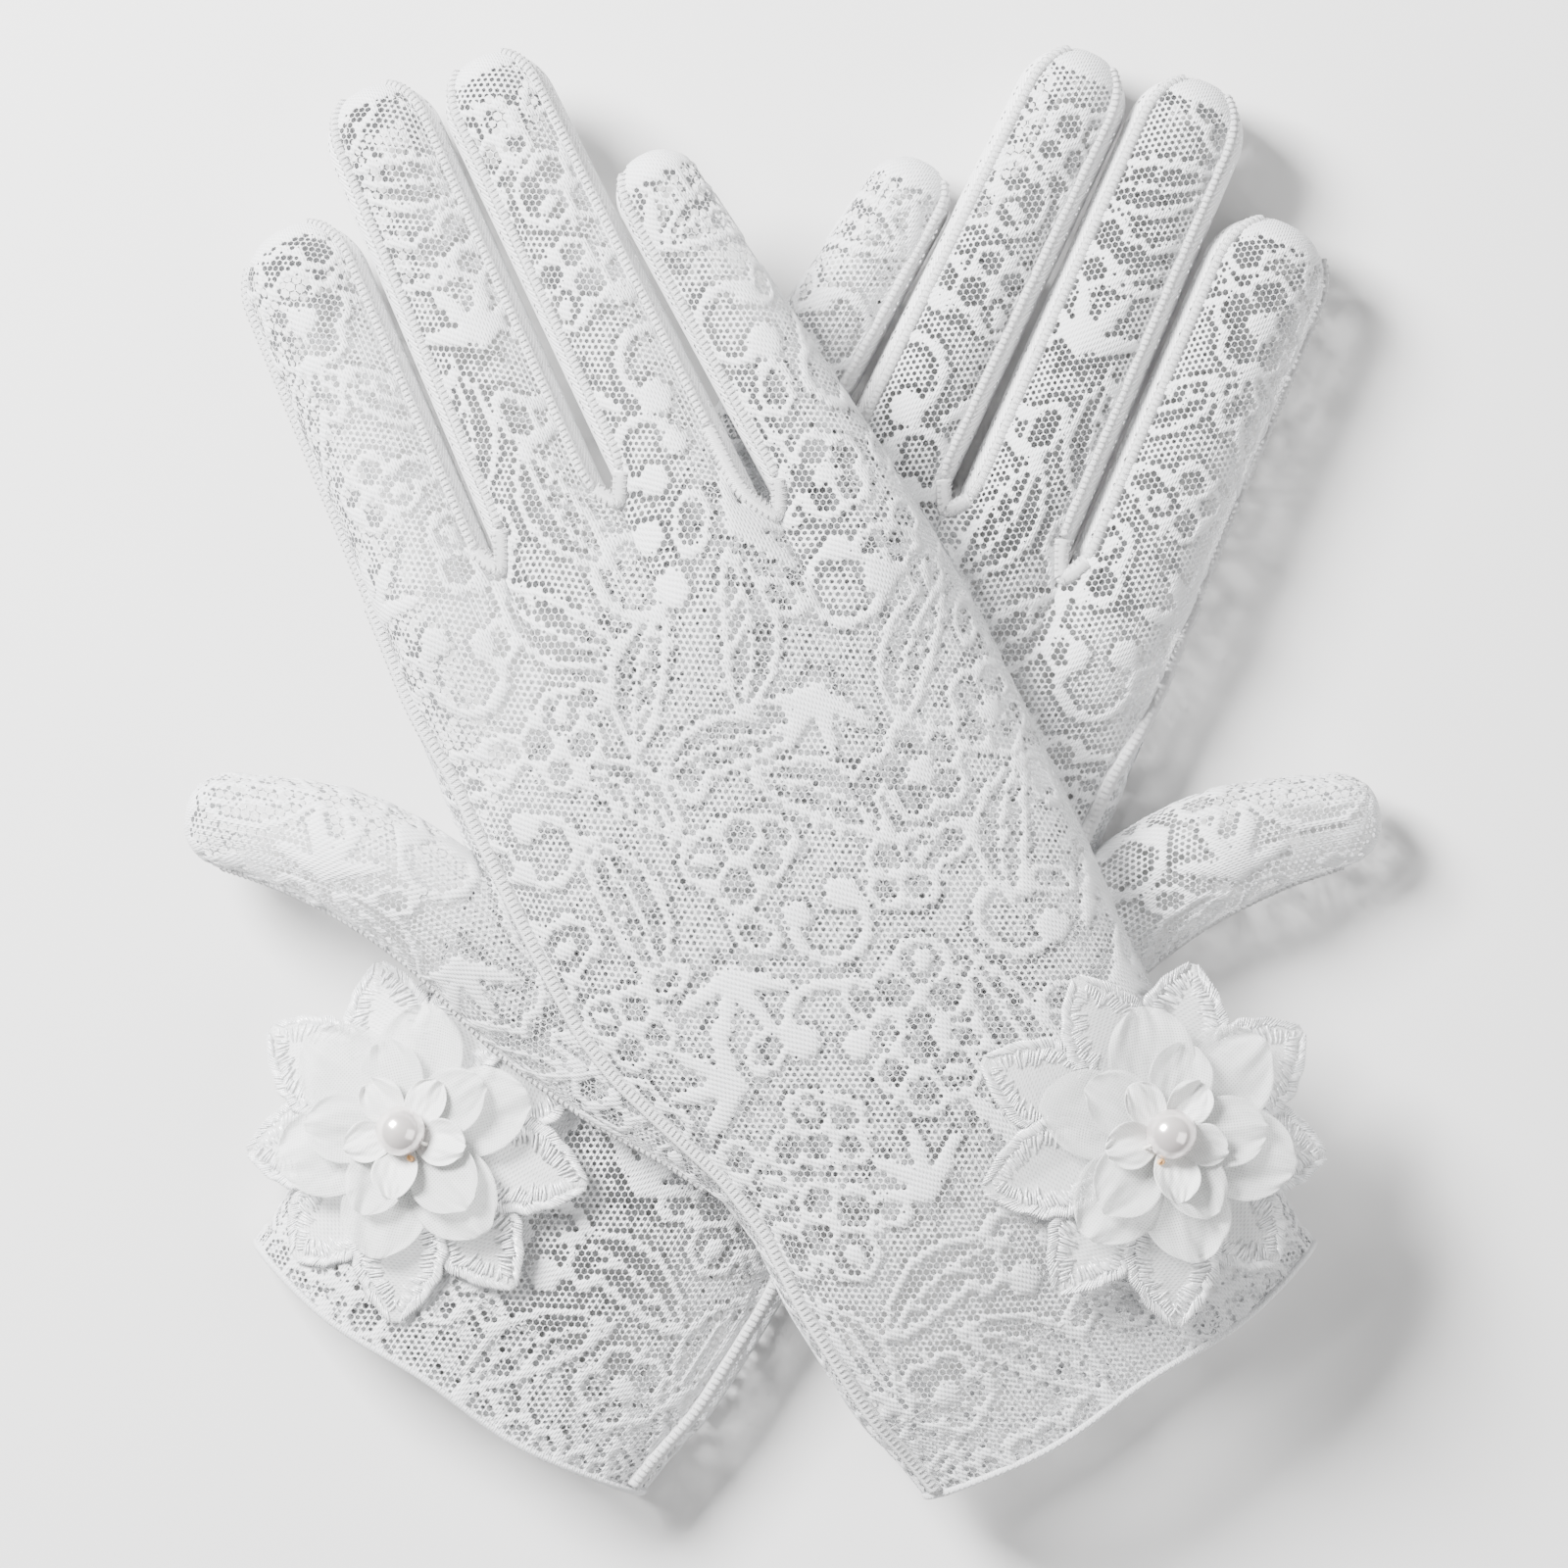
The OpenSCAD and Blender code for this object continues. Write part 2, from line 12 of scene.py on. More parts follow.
import bpy
import numpy as np
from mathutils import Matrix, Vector


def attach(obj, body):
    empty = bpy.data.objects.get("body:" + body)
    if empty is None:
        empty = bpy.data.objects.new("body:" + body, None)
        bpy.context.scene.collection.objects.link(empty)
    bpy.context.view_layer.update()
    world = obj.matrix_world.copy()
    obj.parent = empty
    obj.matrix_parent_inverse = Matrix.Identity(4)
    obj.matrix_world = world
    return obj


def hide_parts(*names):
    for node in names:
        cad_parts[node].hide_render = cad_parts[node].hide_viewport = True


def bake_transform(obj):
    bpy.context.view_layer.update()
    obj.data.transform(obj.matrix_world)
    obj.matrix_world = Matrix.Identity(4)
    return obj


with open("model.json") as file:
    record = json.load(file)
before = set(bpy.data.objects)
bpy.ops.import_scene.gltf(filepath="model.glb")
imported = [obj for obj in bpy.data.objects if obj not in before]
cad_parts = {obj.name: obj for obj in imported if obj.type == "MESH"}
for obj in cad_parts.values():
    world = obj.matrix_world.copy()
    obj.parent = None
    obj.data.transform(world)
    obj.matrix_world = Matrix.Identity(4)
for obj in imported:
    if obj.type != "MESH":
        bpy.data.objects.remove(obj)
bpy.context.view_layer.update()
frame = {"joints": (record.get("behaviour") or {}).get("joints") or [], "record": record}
scene = bpy.context.scene
MM = 0.001

# ---------------------------------------------------------------- sizes, in millimetres

HAND_HEIGHT = 19.0
FULLNESS = 0.62
HEM_HEIGHT = 16.0
# How high the top glove lies over the other, and how it falls towards its fingers and its cuff:
# slope, and the place where the fall starts as a plus b times u
DRAPE = 20.5
FINGER_FALL = (0.22, 152.5, 0.7)
CUFF_FALL = (0.3, 44, 0.3)
# Where the side seam lies round the hand, in degrees from the little-finger side
SEAM_DEG = 158.0
# The cuff's edge slants across the hand by this share of u, and by nothing beyond SLANT_END
CUFF_SLANT, SLANT_END = 0.092, 110
# The cuff's edge is bowed: its corners stand back by CUFF_BOW, and it waves a little
CUFF_HALF, CUFF_SOFT, CUFF_BOW, CUFF_WAVE = 35.3, 16.0, 3.0, 0.4

# Edges of the hand, as distance from the cuff and place across the hand
RADIAL_EDGE = (
    (-10, -35.0), (0, -35.8), (20, -39.6), (38, -41), (50, -40.6), (60, -42.5), (70, -46.5),
    (80, -50.2), (88, -51.8), (100, -52), (125, -51.4), (140, -50), (156, -48), (175, -46),
)
ULNAR_EDGE = (
    (-10, 35), (0, 35.3), (20, 33.6), (45, 31.4), (60, 31.2), (74, 32.5), (91, 33.4),
    (109, 34.3), (132, 34.9), (145, 34), (156, 33), (175, 32),
)

# Fingers: base u and v, lean in degrees, radius at base and tip, length, middle joint, drape slope
FINGERS = (
    ("index", -37.2, 156.0, 4.7, 10.0, 9.6, 63.5, 30.0, 0.21),
    ("middle", -17.1, 155.6, 4.2, 9.7, 9.15, 77.5, 36.0, 0.21),
    ("ring", 3.6, 150.4, 1.9, 9.4, 8.7, 78.3, 38.0, 0.2),
    ("little", 24.0, 141.5, -3.0, 9.2, 6.9, 60.5, 35.0, 0.06),
)
# Where the webs lie between neighbouring fingers, and how far below them the hand turns to fingers
WEB_V = (153.6, 154.7, 142.0)
WEB_BLEND = 26
# Where each finger's own pieces begin, a little beyond its webs
FINGER_START = np.array([160.0, 160.0, 160.0, 149.0])
# Half the arc of a finger that its back covers: beside a strip, and where no strip lies beside it
BACK_ARC = math.radians(48)
OUTER_ARC = math.radians(94)

# The thumb: middle joint, lean, radius at joint and tip, length, drape slope
THUMB_JOINT = (-64.8, 125.2)
THUMB_LEAN = -49.0
THUMB_R = 9.4
THUMB_TIP_R = 7.3
THUMB_LENGTH = 31.5
THUMB_SLOPE = 0.3
THUMB_SHAPE = ("thumb", *THUMB_JOINT, THUMB_LEAN, THUMB_R, THUMB_TIP_R, THUMB_LENGTH, 0, THUMB_SLOPE)

# The ends of the fingers and the thumb narrow with this power of the cosine
DOME = 0.85

# Lace: distance between rows of stitches, on the back and on the palm, and the flat pattern's end
PITCH, PALM_PITCH = 1.05, 1.5
PATTERN_END = 246
# Sizes of the holes, as shares of a cell: in open net, on the ground between motifs, and none
NET, GROUND, DENSE = 0.88, 0.63, 0.0
# Half width of a motif's solid outline, and how far the open net reaches beyond it
OUTLINE, HALO = 0.5, 1.7
# Solid lace at the ends of the fingers and the thumb
FINGER_CAP, THUMB_CAP = 8.5, 4
# Radius of a stitch's thread, and distance between the stitches wrapped over a piping
STITCH_R, STITCH_STEP = 0.2, 0.95
# Height of the solid parts of the lace over its net
RELIEF = 0.3


# ---------------------------------------------------------------- small helpers


def smooth(x, lo=0.0, hi=1.0):
    """0 below lo, 1 above hi, and a smooth step between."""
    t = np.clip((np.asarray(x, float) - lo) / (hi - lo), 0, 1)
    return t * t * (3 - 2 * t)


def mix(a, b, t):
    """a where t is 0, b where it is 1."""
    return a * (1 - t) + b * t


def unit(vectors):
    """Rows of vectors at length 1."""
    return vectors / np.linalg.norm(vectors, axis=1)[:, None]


def distance_along(path):
    """Distance of each point of a path from its start."""
    return np.concatenate([[0], np.cumsum(np.linalg.norm(np.diff(path, axis=0), axis=1))])


def soft_table(points, step=1.0, blur=5):
    """A smooth curve through a short table, sampled finely: returns a function."""
    xs = np.arange(points[0][0], points[-1][0] + step, step)
    ys = np.interp(xs, *np.array(points, float).T)
    kernel = np.hanning(2 * blur + 1)
    padded = np.pad(ys, blur, mode="reflect", reflect_type="odd")
    ys = np.convolve(padded, kernel / kernel.sum(), "valid")
    return lambda x: np.interp(x, xs, ys)


radial_edge = soft_table(RADIAL_EDGE)
ulnar_edge = soft_table(ULNAR_EDGE)


def soft_ramp(d):
    """0 for low d and d for high d, with a round corner between."""
    return (d + np.sqrt(d * d + 100)) / 2


def rotation(lean, pitch):
    """Turns by -pitch about X and then by -lean about Z, both in radians."""
    cp, sp = math.cos(-pitch), math.sin(-pitch)
    cl, sl = math.cos(-lean), math.sin(-lean)
    about_x = np.array([[1, 0, 0], [0, cp, -sp], [0, sp, cp]])
    about_z = np.array([[cl, -sl, 0], [sl, cl, 0], [0, 0, 1]])
    return about_z @ about_x


# ---------------------------------------------------------------- the glove's shape


class HandSection:
    """Arc length round the back of the hand, from its crest, at every distance from the cuff."""

    V_STEP, U_STEP = 2.0, 0.5

    def __init__(self, inset=0.0):
        self.inset = inset
        self.vs = np.arange(-8.0, 174.0, self.V_STEP)
        self.us = np.arange(-80.0, 80.5, self.U_STEP)
        ends = np.linspace(0, 6, 40)
        degs = np.concatenate([ends, np.linspace(6.3, 173.7, 340), ends + 174])
        self.table = np.zeros((len(self.vs), len(self.us)))
        self.low, self.high, self.seam = [], [], []
        for i, v in enumerate(self.vs):
            p = self.curve(v, np.radians(degs))
            length = np.concatenate([[0], np.cumsum(np.hypot(*np.diff(p, axis=1)))])
            arc = np.interp(90, degs, length) - length
            self.table[i] = np.interp(self.us, arc[::-1], degs[::-1])
            self.low.append(arc[-1])
            self.high.append(arc[0])
            self.seam.append(np.interp(SEAM_DEG, degs, arc))

    def curve(self, v, angle):
        """Place across the hand and height at an angle round the section."""
        half = (ulnar_edge(v) - radial_edge(v)) / 2 - self.inset
        middle = (ulnar_edge(v) + radial_edge(v)) / 2
        height = HAND_HEIGHT - 2 * self.inset
        return np.array([
            middle + half * np.cos(angle),
            self.inset + height * np.clip(np.sin(angle), 0, 1) ** FULLNESS,
        ])

    def angle(self, U, V):
        """Angle round the section at arc length U, in radians."""
        fi = np.clip((V - self.vs[0]) / self.V_STEP, 0, len(self.vs) - 1.001)
        fj = np.clip((U - self.us[0]) / self.U_STEP, 0, len(self.us) - 1.001)
        i, j = fi.astype(int), fj.astype(int)
        a, b = fi - i, fj - j
        t = self.table
        degs = (
            t[i, j] * (1 - a) * (1 - b) + t[i + 1, j] * a * (1 - b)
            + t[i, j + 1] * (1 - a) * b + t[i + 1, j + 1] * a * b
        )
        return np.radians(degs)

    def edge(self, which, V):
        """Arc length at V of one of the lines low, high and seam."""
        return np.interp(V, self.vs, which)


SECTION = HandSection()
HEM_SECTION = HandSection(inset=0.7)


def arc_of(u, v):
    """Arc length at place u across the back of the hand."""
    arcs = SECTION.us
    there = SECTION.curve(v, SECTION.angle(arcs, np.full(arcs.shape, float(v))))[0]
    return float(np.interp(u, there, arcs))


# Middle of each finger and boundaries between them, on the back's pattern and on the palm's
BACK_MID = np.array([arc_of(f[1], 150) for f in FINGERS])
PALM_MID = np.array([f[1] for f in FINGERS])
BACK_CUT = (BACK_MID[1:] + BACK_MID[:-1]) / 2
PALM_CUT = (PALM_MID[1:] + PALM_MID[:-1]) / 2


class Glove:
    """One glove: where it lies, and the surfaces of its hand, fingers and thumb."""

    def __init__(self, side):
        self.side = side
        self.mirrored = side == "left"
        self.drape = 0.0 if self.mirrored else DRAPE
        mount = next(m for m in frame["record"]["mounts"] if m["name"] == side + "_cuff_opening")
        self.origin = np.array([mount["pos_m"][0], mount["pos_m"][1], 0])
        along = -np.array(mount["axis"], float)
        across = np.array([along[1], -along[0], 0])
        self.axes = np.array([-across if self.mirrored else across, along, [0, 0, 1]])
        self.fingers = [self.finger_frame(f) for f in FINGERS]
        self.thumb_lift = float(self.lift(*THUMB_JOINT))
        self.bends = {f[0]: self.bend(self.fingers[k], f[7] - 7, f[7] + 9) for k, f in enumerate(FINGERS)}
        self.bends["thumb"] = self.bend(self.finger_frame(THUMB_SHAPE), -8, 8)

    def bend(self, place, start, end):
        """The two world points on a finger between which it bends."""
        m, base = place
        return [Vector(self.world(base + m @ np.array([0, y, 0]))) for y in (start, end)]

    def lift(self, u, v):
        """Height of the draped glove over the table: it lies on the other glove."""
        if not self.drape:
            return np.zeros(np.broadcast(u, v).shape)
        slope, place, skew = FINGER_FALL
        fall = slope * soft_ramp(v - place - skew * u)
        slope, place, skew = CUFF_FALL
        fall = fall + slope * soft_ramp(place + skew * u - v)
        return np.maximum(self.drape - fall, 0)

    def world(self, points):
        """Points of the glove's frame, in millimetres, in world metres, with the cuff's edge bowed."""
        p = np.array(points, float)
        near = 1 - smooth(p[..., 1], 0, CUFF_SOFT)
        out = np.minimum(np.abs(p[..., 0]) / CUFF_HALF, 1.1)
        p[..., 1] += near * (CUFF_BOW * out**4 + CUFF_WAVE * np.sin(0.2 * p[..., 0] + 1))
        return self.origin + p @ self.axes * MM

    def finger_frame(self, f):
        """Turn and place of a finger: x across it, y along it, z out of its back."""
        _, u, v, lean, r0, r1, length, _, slope = f
        flat = math.atan((r0 - r1) / (length - r1))
        pitch = max(flat, math.atan(slope)) if self.drape else flat
        start = np.array([u, v, r0 + 0.1 + float(self.lift(u, v))])
        return rotation(math.radians(lean), pitch), start

    # -- hand

    def hand_back(self, U, V, section=SECTION):
        """The back of the hand, faintly waved like worn lace."""
        angle = section.angle(U, V)
        u, w = section.curve(V, angle)
        v = V + CUFF_SLANT * u * (1 - smooth(V, 0, SLANT_END))
        wave = 0.35 * np.sin(u * 0.21 + V * 0.05) * np.sin(V * 0.13 - u * 0.07)
        w = w + wave * np.sin(angle) ** 2
        return np.stack([u, v, w + 0.4 + self.lift(u, v)], -1)

    def hand_palm(self, U, V, rise=0.35):
        """The flat palm, turned up a little along its edges."""
        edge = np.minimum(U - radial_edge(V), ulnar_edge(V) - U)
        v = V + CUFF_SLANT * U * (1 - smooth(V, 0, SLANT_END))
        w = rise + 1.6 * (1 - smooth(edge, 0, 3))
        return np.stack([U, v, w + self.lift(U, v)], -1)

    # -- fingers

    def finger_size(self, k, V):
        """Radius and distance along the finger's axis, for distance V on the pattern."""
        _, _, base_v, _, r0, r1, length, _, _ = FINGERS[k]
        run = V - base_v
        straight = length - r1
        r = mix(r0, r1, np.clip(run / straight, 0, 1))
        turn = np.clip((run - straight) / r1, 0, math.pi / 2)
        over = run > straight
        r = np.where(over, r1 * np.cos(turn) ** DOME, r)
        y = np.where(over, straight + r1 * np.sin(turn), run)
        return r, y

    def finger(self, k, angle, V):
        """Point of finger k at angle from its crest, towards the little finger."""
        r, y = self.finger_size(k, V)
        m, start = self.fingers[k]
        local = np.stack([r * np.sin(angle), y, r * np.cos(angle)], -1)
        return local @ m.T + start

    def web_shift(self, k, j, angle, V):
        """Moves finger k's side at the web beside finger j onto the fold between them."""
        mine = self.finger(k, angle, V)
        other = self.finger(j, -angle, V)
        middle = (mine + other) / 2
        sink = 1.2 * smooth(V, WEB_V[min(k, j)] - 14, WEB_V[min(k, j)])
        middle[..., 2] -= sink * np.abs(np.cos(angle))
        fade = 1 - smooth(V, WEB_V[min(k, j)], WEB_V[min(k, j)] + 6)
        return (middle - mine) * fade[..., None]

    def joined(self, k, U, V, back):
        """Finger k's surface, pulled together with its neighbours' below the webs."""
        mids, cuts = (BACK_MID, BACK_CUT) if back else (PALM_MID, PALM_CUT)
        r, _ = self.finger_size(k, V)
        t = (U - mids[k]) / np.maximum(r, 0.05)
        flip = (lambda a: a) if back else (lambda a: math.pi - a)
        p = self.finger(k, flip(t), V)
        for j, cut in ((k - 1, k - 1), (k + 1, k)):
            if 0 <= j < len(FINGERS):
                limit = np.full(V.shape, (cuts[cut] - mids[k])) / np.maximum(r, 0.05)
                share = np.clip((U - mids[k]) / (cuts[cut] - mids[k]), 0, 1.05)
                weight = smooth(share, 0.25, 1.0) ** 2
                p = p + self.web_shift(k, j, flip(limit), V) * weight[..., None]
        return p

    def surface(self, k, U, V, back):
        """The glove's back or palm at (U, V), with finger k as the nearest finger."""
        mids, cuts = (BACK_MID, BACK_CUT) if back else (PALM_MID, PALM_CUT)
        web = np.interp(U, [mids[0], cuts[0], cuts[1], cuts[2], mids[3]], [155, *WEB_V, 139.5])
        t = smooth(V, web - WEB_BLEND, web)
        hand = self.hand_back(U, V) if back else self.hand_palm(U, V)
        out = np.zeros(hand.shape)
        for f in range(len(FINGERS)):
            mine = k == f
            if mine.any():
                out[mine] = self.joined(f, U[mine], V[mine], back)
        return mix(hand, out, t[..., None])

    # -- thumb

    def thumb(self, X, S, back):
        """The thumb's top or underside at X across it and S along it."""
        c, n, r, h, w0 = THUMB.at(S)
        angle = np.clip(X / np.maximum(r, 0.05), -math.pi / 2, math.pi / 2)
        u = c[..., 0] + r * np.sin(angle) * n[..., 0]
        v = c[..., 1] + r * np.sin(angle) * n[..., 1]
        sign = 1 if back else -1
        beyond = self.thumb_lift - (THUMB_SLOPE if self.drape else 0) * (S - THUMB.joint_s)
        rise = mix(self.lift(u, v), beyond, smooth(S, THUMB.joint_s - 34, THUMB.joint_s))
        w = w0 + sign * h * np.cos(angle) + rise + 0.2
        return np.stack([u, v, np.maximum(w, 0.15)], -1)


# Middle line of the thumb from the side of the hand: u, v, half width and half height
THUMB_LINE = (
    (-32.0, 57.0, 9.8, 4.2), (-38.3, 69.3, 9.8, 4.4), (-45.2, 79.6, 9.8, 4.6),
    (-51.2, 91.3, 9.8, 4.9), (-54.4, 99.2, 9.7, 5.2), (-56.8, 108.7, 9.7, 5.8),
    (-60.2, 116.8, 9.6, 7.2), (-64.0, 123.8, 9.5, 8.7), (-68.6, 130.2, 9.3, 9.2),
    (-74.6, 136.1, 8.3, 8.2), (-81.5, 141.6, 7.2, 7.1),
)


class ThumbShape:
    """The thumb's middle line, widths and heights, all blurred into smooth curves."""

    def __init__(self):
        rows = np.array(THUMB_LINE)
        run = distance_along(rows[:, :2])
        self.s = np.linspace(0, run[-1], 240)
        kernel = np.hanning(35)
        kernel /= kernel.sum()
        columns = []
        for c in range(4):
            fine = np.pad(np.interp(self.s, run, rows[:, c]), 17, mode="reflect", reflect_type="odd")
            columns.append(np.convolve(fine, kernel, "valid"))
        self.centre = np.stack(columns[:2], -1)
        self.wide, self.half = columns[2:]
        self.ahead = unit(np.gradient(self.centre, axis=0))
        self.body_s = float(run[-1])
        self.end_s = self.body_s + THUMB_TIP_R * math.pi / 2
        gap = np.linalg.norm(self.centre - THUMB_JOINT, axis=1)
        self.joint_s = float(self.s[gap.argmin()])
        self.split_s = self.joint_s - 9

    def at(self, S):
        """Centre, direction across, half width, half height and middle height at length S."""
        S = np.asarray(S, float)
        base = np.clip(S, 0, self.body_s)
        centre = np.stack([np.interp(base, self.s, self.centre[:, c]) for c in (0, 1)], -1)
        ahead = np.stack([np.interp(base, self.s, self.ahead[:, c]) for c in (0, 1)], -1)
        wide = np.interp(base, self.s, self.wide)
        half = np.interp(base, self.s, self.half)
        turn = np.clip((S - self.body_s) / THUMB_TIP_R, 0, math.pi / 2)
        centre = centre + ahead * (THUMB_TIP_R * np.sin(turn))[..., None]
        across = np.stack([ahead[..., 1], -ahead[..., 0]], -1)
        shrink = np.cos(turn) ** DOME
        return centre, across, wide * shrink, half * shrink, half


THUMB = ThumbShape()


# ---------------------------------------------------------------- lace pattern


def motif_list():
    """Kind, place, size and turn of motifs spread evenly over the flat pattern, with buds between."""
    rng = np.random.default_rng(11)
    kinds = (rose, leaf, blossom, scroll, spray, blossom, leaf, leaf)
    out = []
    step, row_step = 16.4, 16.4 * 0.88
    spots = [(row, col) for row in range(20) for col in range(-5, 6)]
    for row, col in spots:
        u = (col + 0.5 * ((row + 1) % 2)) * step + rng.uniform(-1.5, 1.5)
        v = (row + 0.1) * row_step + rng.uniform(-1.5, 1.5)
        size, turn = rng.uniform(3.0, 4.4), rng.uniform(0, 2 * math.pi)
        if (row + col) % 3:
            out.append((bud, u, v, size, turn))
    for row, col in spots:
        u = (col + 0.5 * (row % 2)) * step + rng.uniform(-1.8, 1.8)
        v = row * row_step + rng.uniform(-1.8, 1.8)
        kind = kinds[rng.integers(len(kinds))]
        out.append((kind, u, v, rng.uniform(6.6, 8.6), rng.uniform(0, 2 * math.pi)))
    return out


def line(d, half):
    """0 on a solid line of that half width, 1 beside it."""
    return smooth(np.abs(d), half - 0.2, half + 0.35)


def circles(x, y, size, spots):
    """Distances outside several circles, nearest first, each given as x, y and radius in sizes."""
    away = [np.hypot(x - cx * size, y - cy * size) - radius * size for cx, cy, radius in spots]
    return np.sort(away, axis=0)


# Each motif takes places about its middle and its size, and gives the distance outside its rim and
# the hole sizes within it.


def rose(x, y, size):
    """Five round petals about a heart with a hole."""
    r = np.hypot(x, y)
    turns = np.arange(5) * 2 * math.pi / 5
    rim = circles(x, y, size, [(0.54 * math.cos(t), 0.54 * math.sin(t), 0.42) for t in turns])[0]
    lobe = np.abs(np.cos(2.5 * np.arctan2(y, x)))
    heart = 0.26 * size
    value = NET * line(r * lobe / 2.5, 0.1) * line(r - heart, 0.2)
    value = np.where(r < heart, GROUND * line(r, 0.1 * size), value)
    return rim, value


def leaf(x, y, size):
    """Curved leaf with a solid midrib and one side barred."""
    long = 1.4 * size
    share = np.clip(1 - (x / long) ** 2, 0, 1)
    y = y - 0.26 * size * share + 0.13 * size
    half = 0.5 * size * share**0.75
    rim = np.where(np.abs(x) < long, np.abs(y) - half, np.hypot(np.abs(x) - long, y))
    bars = line(((x - 1.3 * np.abs(y)) % 4.2) - 2.1, 0.2)
    value = np.where(y > 0, NET, NET * bars) * line(y, 0.3)
    return rim, value


def blossom(x, y, size):
    """Four lobes side by side, parted near the rim, with a solid drop in the largest."""
    spots = ((-0.46, 0.05, 0.46), (0.12, 0.48, 0.38), (0.14, -0.42, 0.4), (0.66, 0.06, 0.34))
    away = circles(x, y, size, spots)
    part = np.where(away[0] > -0.24 * size, line((away[1] - away[0]) / 2, 0.2), 1)
    drop = np.hypot((x + 0.5 * size) / 0.22, (y - 0.05 * size) / 0.13) / size
    value = NET * part * smooth(drop, 0.9, 1.3)
    return away[0], value


def scroll(x, y, size):
    """Open curl, a thick bow with a round end on each side of its mouth."""
    a = np.arctan2(y, x)
    bow = np.abs(np.hypot(x, y) - 0.72 * size)
    ends = circles(x, y, size, ((0.46, 0.5, 0.2), (0.46, -0.5, 0.26)))[0]
    rim = np.minimum(np.where(np.abs(a) < 0.75, size, bow - 0.2), ends)
    return rim, NET * smooth(rim, 0, 0.3)


def spray(x, y, size):
    """Four solid petals in a fan."""
    rim = np.full(x.shape, 9.0)
    for turn in (-1.2, -0.4, 0.4, 1.2):
        c, s = math.cos(turn), math.sin(turn)
        lx, ly = x * c + y * s - 0.55 * size, -x * s + y * c
        petal = np.hypot(lx / (0.56 * size), ly / (0.12 * size))
        rim = np.minimum(rim, (petal - 1) * 0.16 * size)
    return rim, NET * smooth(rim, 0, 0.3)


def bud(x, y, size):
    """Small oval with a net middle."""
    e = np.hypot(x / size, y / (0.6 * size))
    return (e - 1) * 0.7 * size, np.full(x.shape, NET)


def lace_holes(U, V, start=0.0):
    """Hole size of each cell: outlined motifs with open net in and around them on a dotted ground."""
    holes = GROUND * (1 + 0.12 * np.sin(U * 3.1) * np.sin(V * 2.3))
    nearest = np.full(U.shape, HALO)
    for kind, u, v, size, turn in motif_list():
        near = np.flatnonzero(np.hypot(U - u, V + start - v) < 2 * size)
        if len(near):
            x, y = U[near] - u, V[near] + start - v
            c, s = math.cos(turn), math.sin(turn)
            x, y = x * c + y * s, -x * s + y * c
            rim, value = kind(x, y, size)
            mine = rim < nearest[near]
            holes[near[mine]] = (value * line(rim, OUTLINE))[mine]
            nearest[near[mine]] = rim[mine]
    return np.where(holes < 0.2, DENSE, holes)


def plain_holes(U, V):
    """Plain knit with sparse pinholes, as on the strips between the fingers."""
    col = np.round(U / 0.9).astype(int)
    row = np.round(V / PITCH).astype(int)
    return np.where((row % 4 == 0) & (col % 3 == 0), 0.55, DENSE)


# ---------------------------------------------------------------- meshes


def make_object(name, points, loops, counts, material, uv):
    """An object from flat arrays: points in metres, the corners of each face in turn."""
    mesh = bpy.data.meshes.new(name)
    mesh.vertices.add(len(points))
    mesh.vertices.foreach_set("co", np.asarray(points, np.float32).ravel())
    mesh.loops.add(len(loops))
    mesh.loops.foreach_set("vertex_index", np.asarray(loops, np.int32))
    mesh.polygons.add(len(counts))
    starts = np.concatenate([[0], np.cumsum(counts)[:-1]])
    mesh.polygons.foreach_set("loop_start", np.asarray(starts, np.int32))
    mesh.update(calc_edges=True)
    layer = mesh.uv_layers.new(name="pattern")
    layer.data.foreach_set("uv", np.asarray(uv, np.float32)[loops].ravel())
    mesh.polygons.foreach_set("use_smooth", np.ones(len(counts), bool))
    mesh.validate()
    mesh.materials.append(material)
    obj = bpy.data.objects.new(name, mesh)
    scene.collection.objects.link(obj)
    return obj


class Lattice:
    """Six-sided cells over a rectangle of the flat pattern."""

    def __init__(self, u0, u1, v0, v1, pitch):
        self.r = pitch / math.sqrt(3)
        self.half = pitch / 2
        i = np.arange(math.floor(u0 / (1.5 * self.r)), math.ceil(u1 / (1.5 * self.r)) + 1)
        j = np.arange(math.floor(v0 / pitch), math.ceil(v1 / pitch) + 1)
        ii, jj = np.meshgrid(i, j, indexing="ij")
        ii, jj = ii.ravel(), jj.ravel()
        self.key = np.stack([3 * ii, 2 * jj + ii % 2], -1)
        self.centre = self.key * [self.r / 2, self.half]
        self.ring = np.array([(2, 0), (1, 1), (-1, 1), (-2, 0), (-1, -1), (1, -1)])


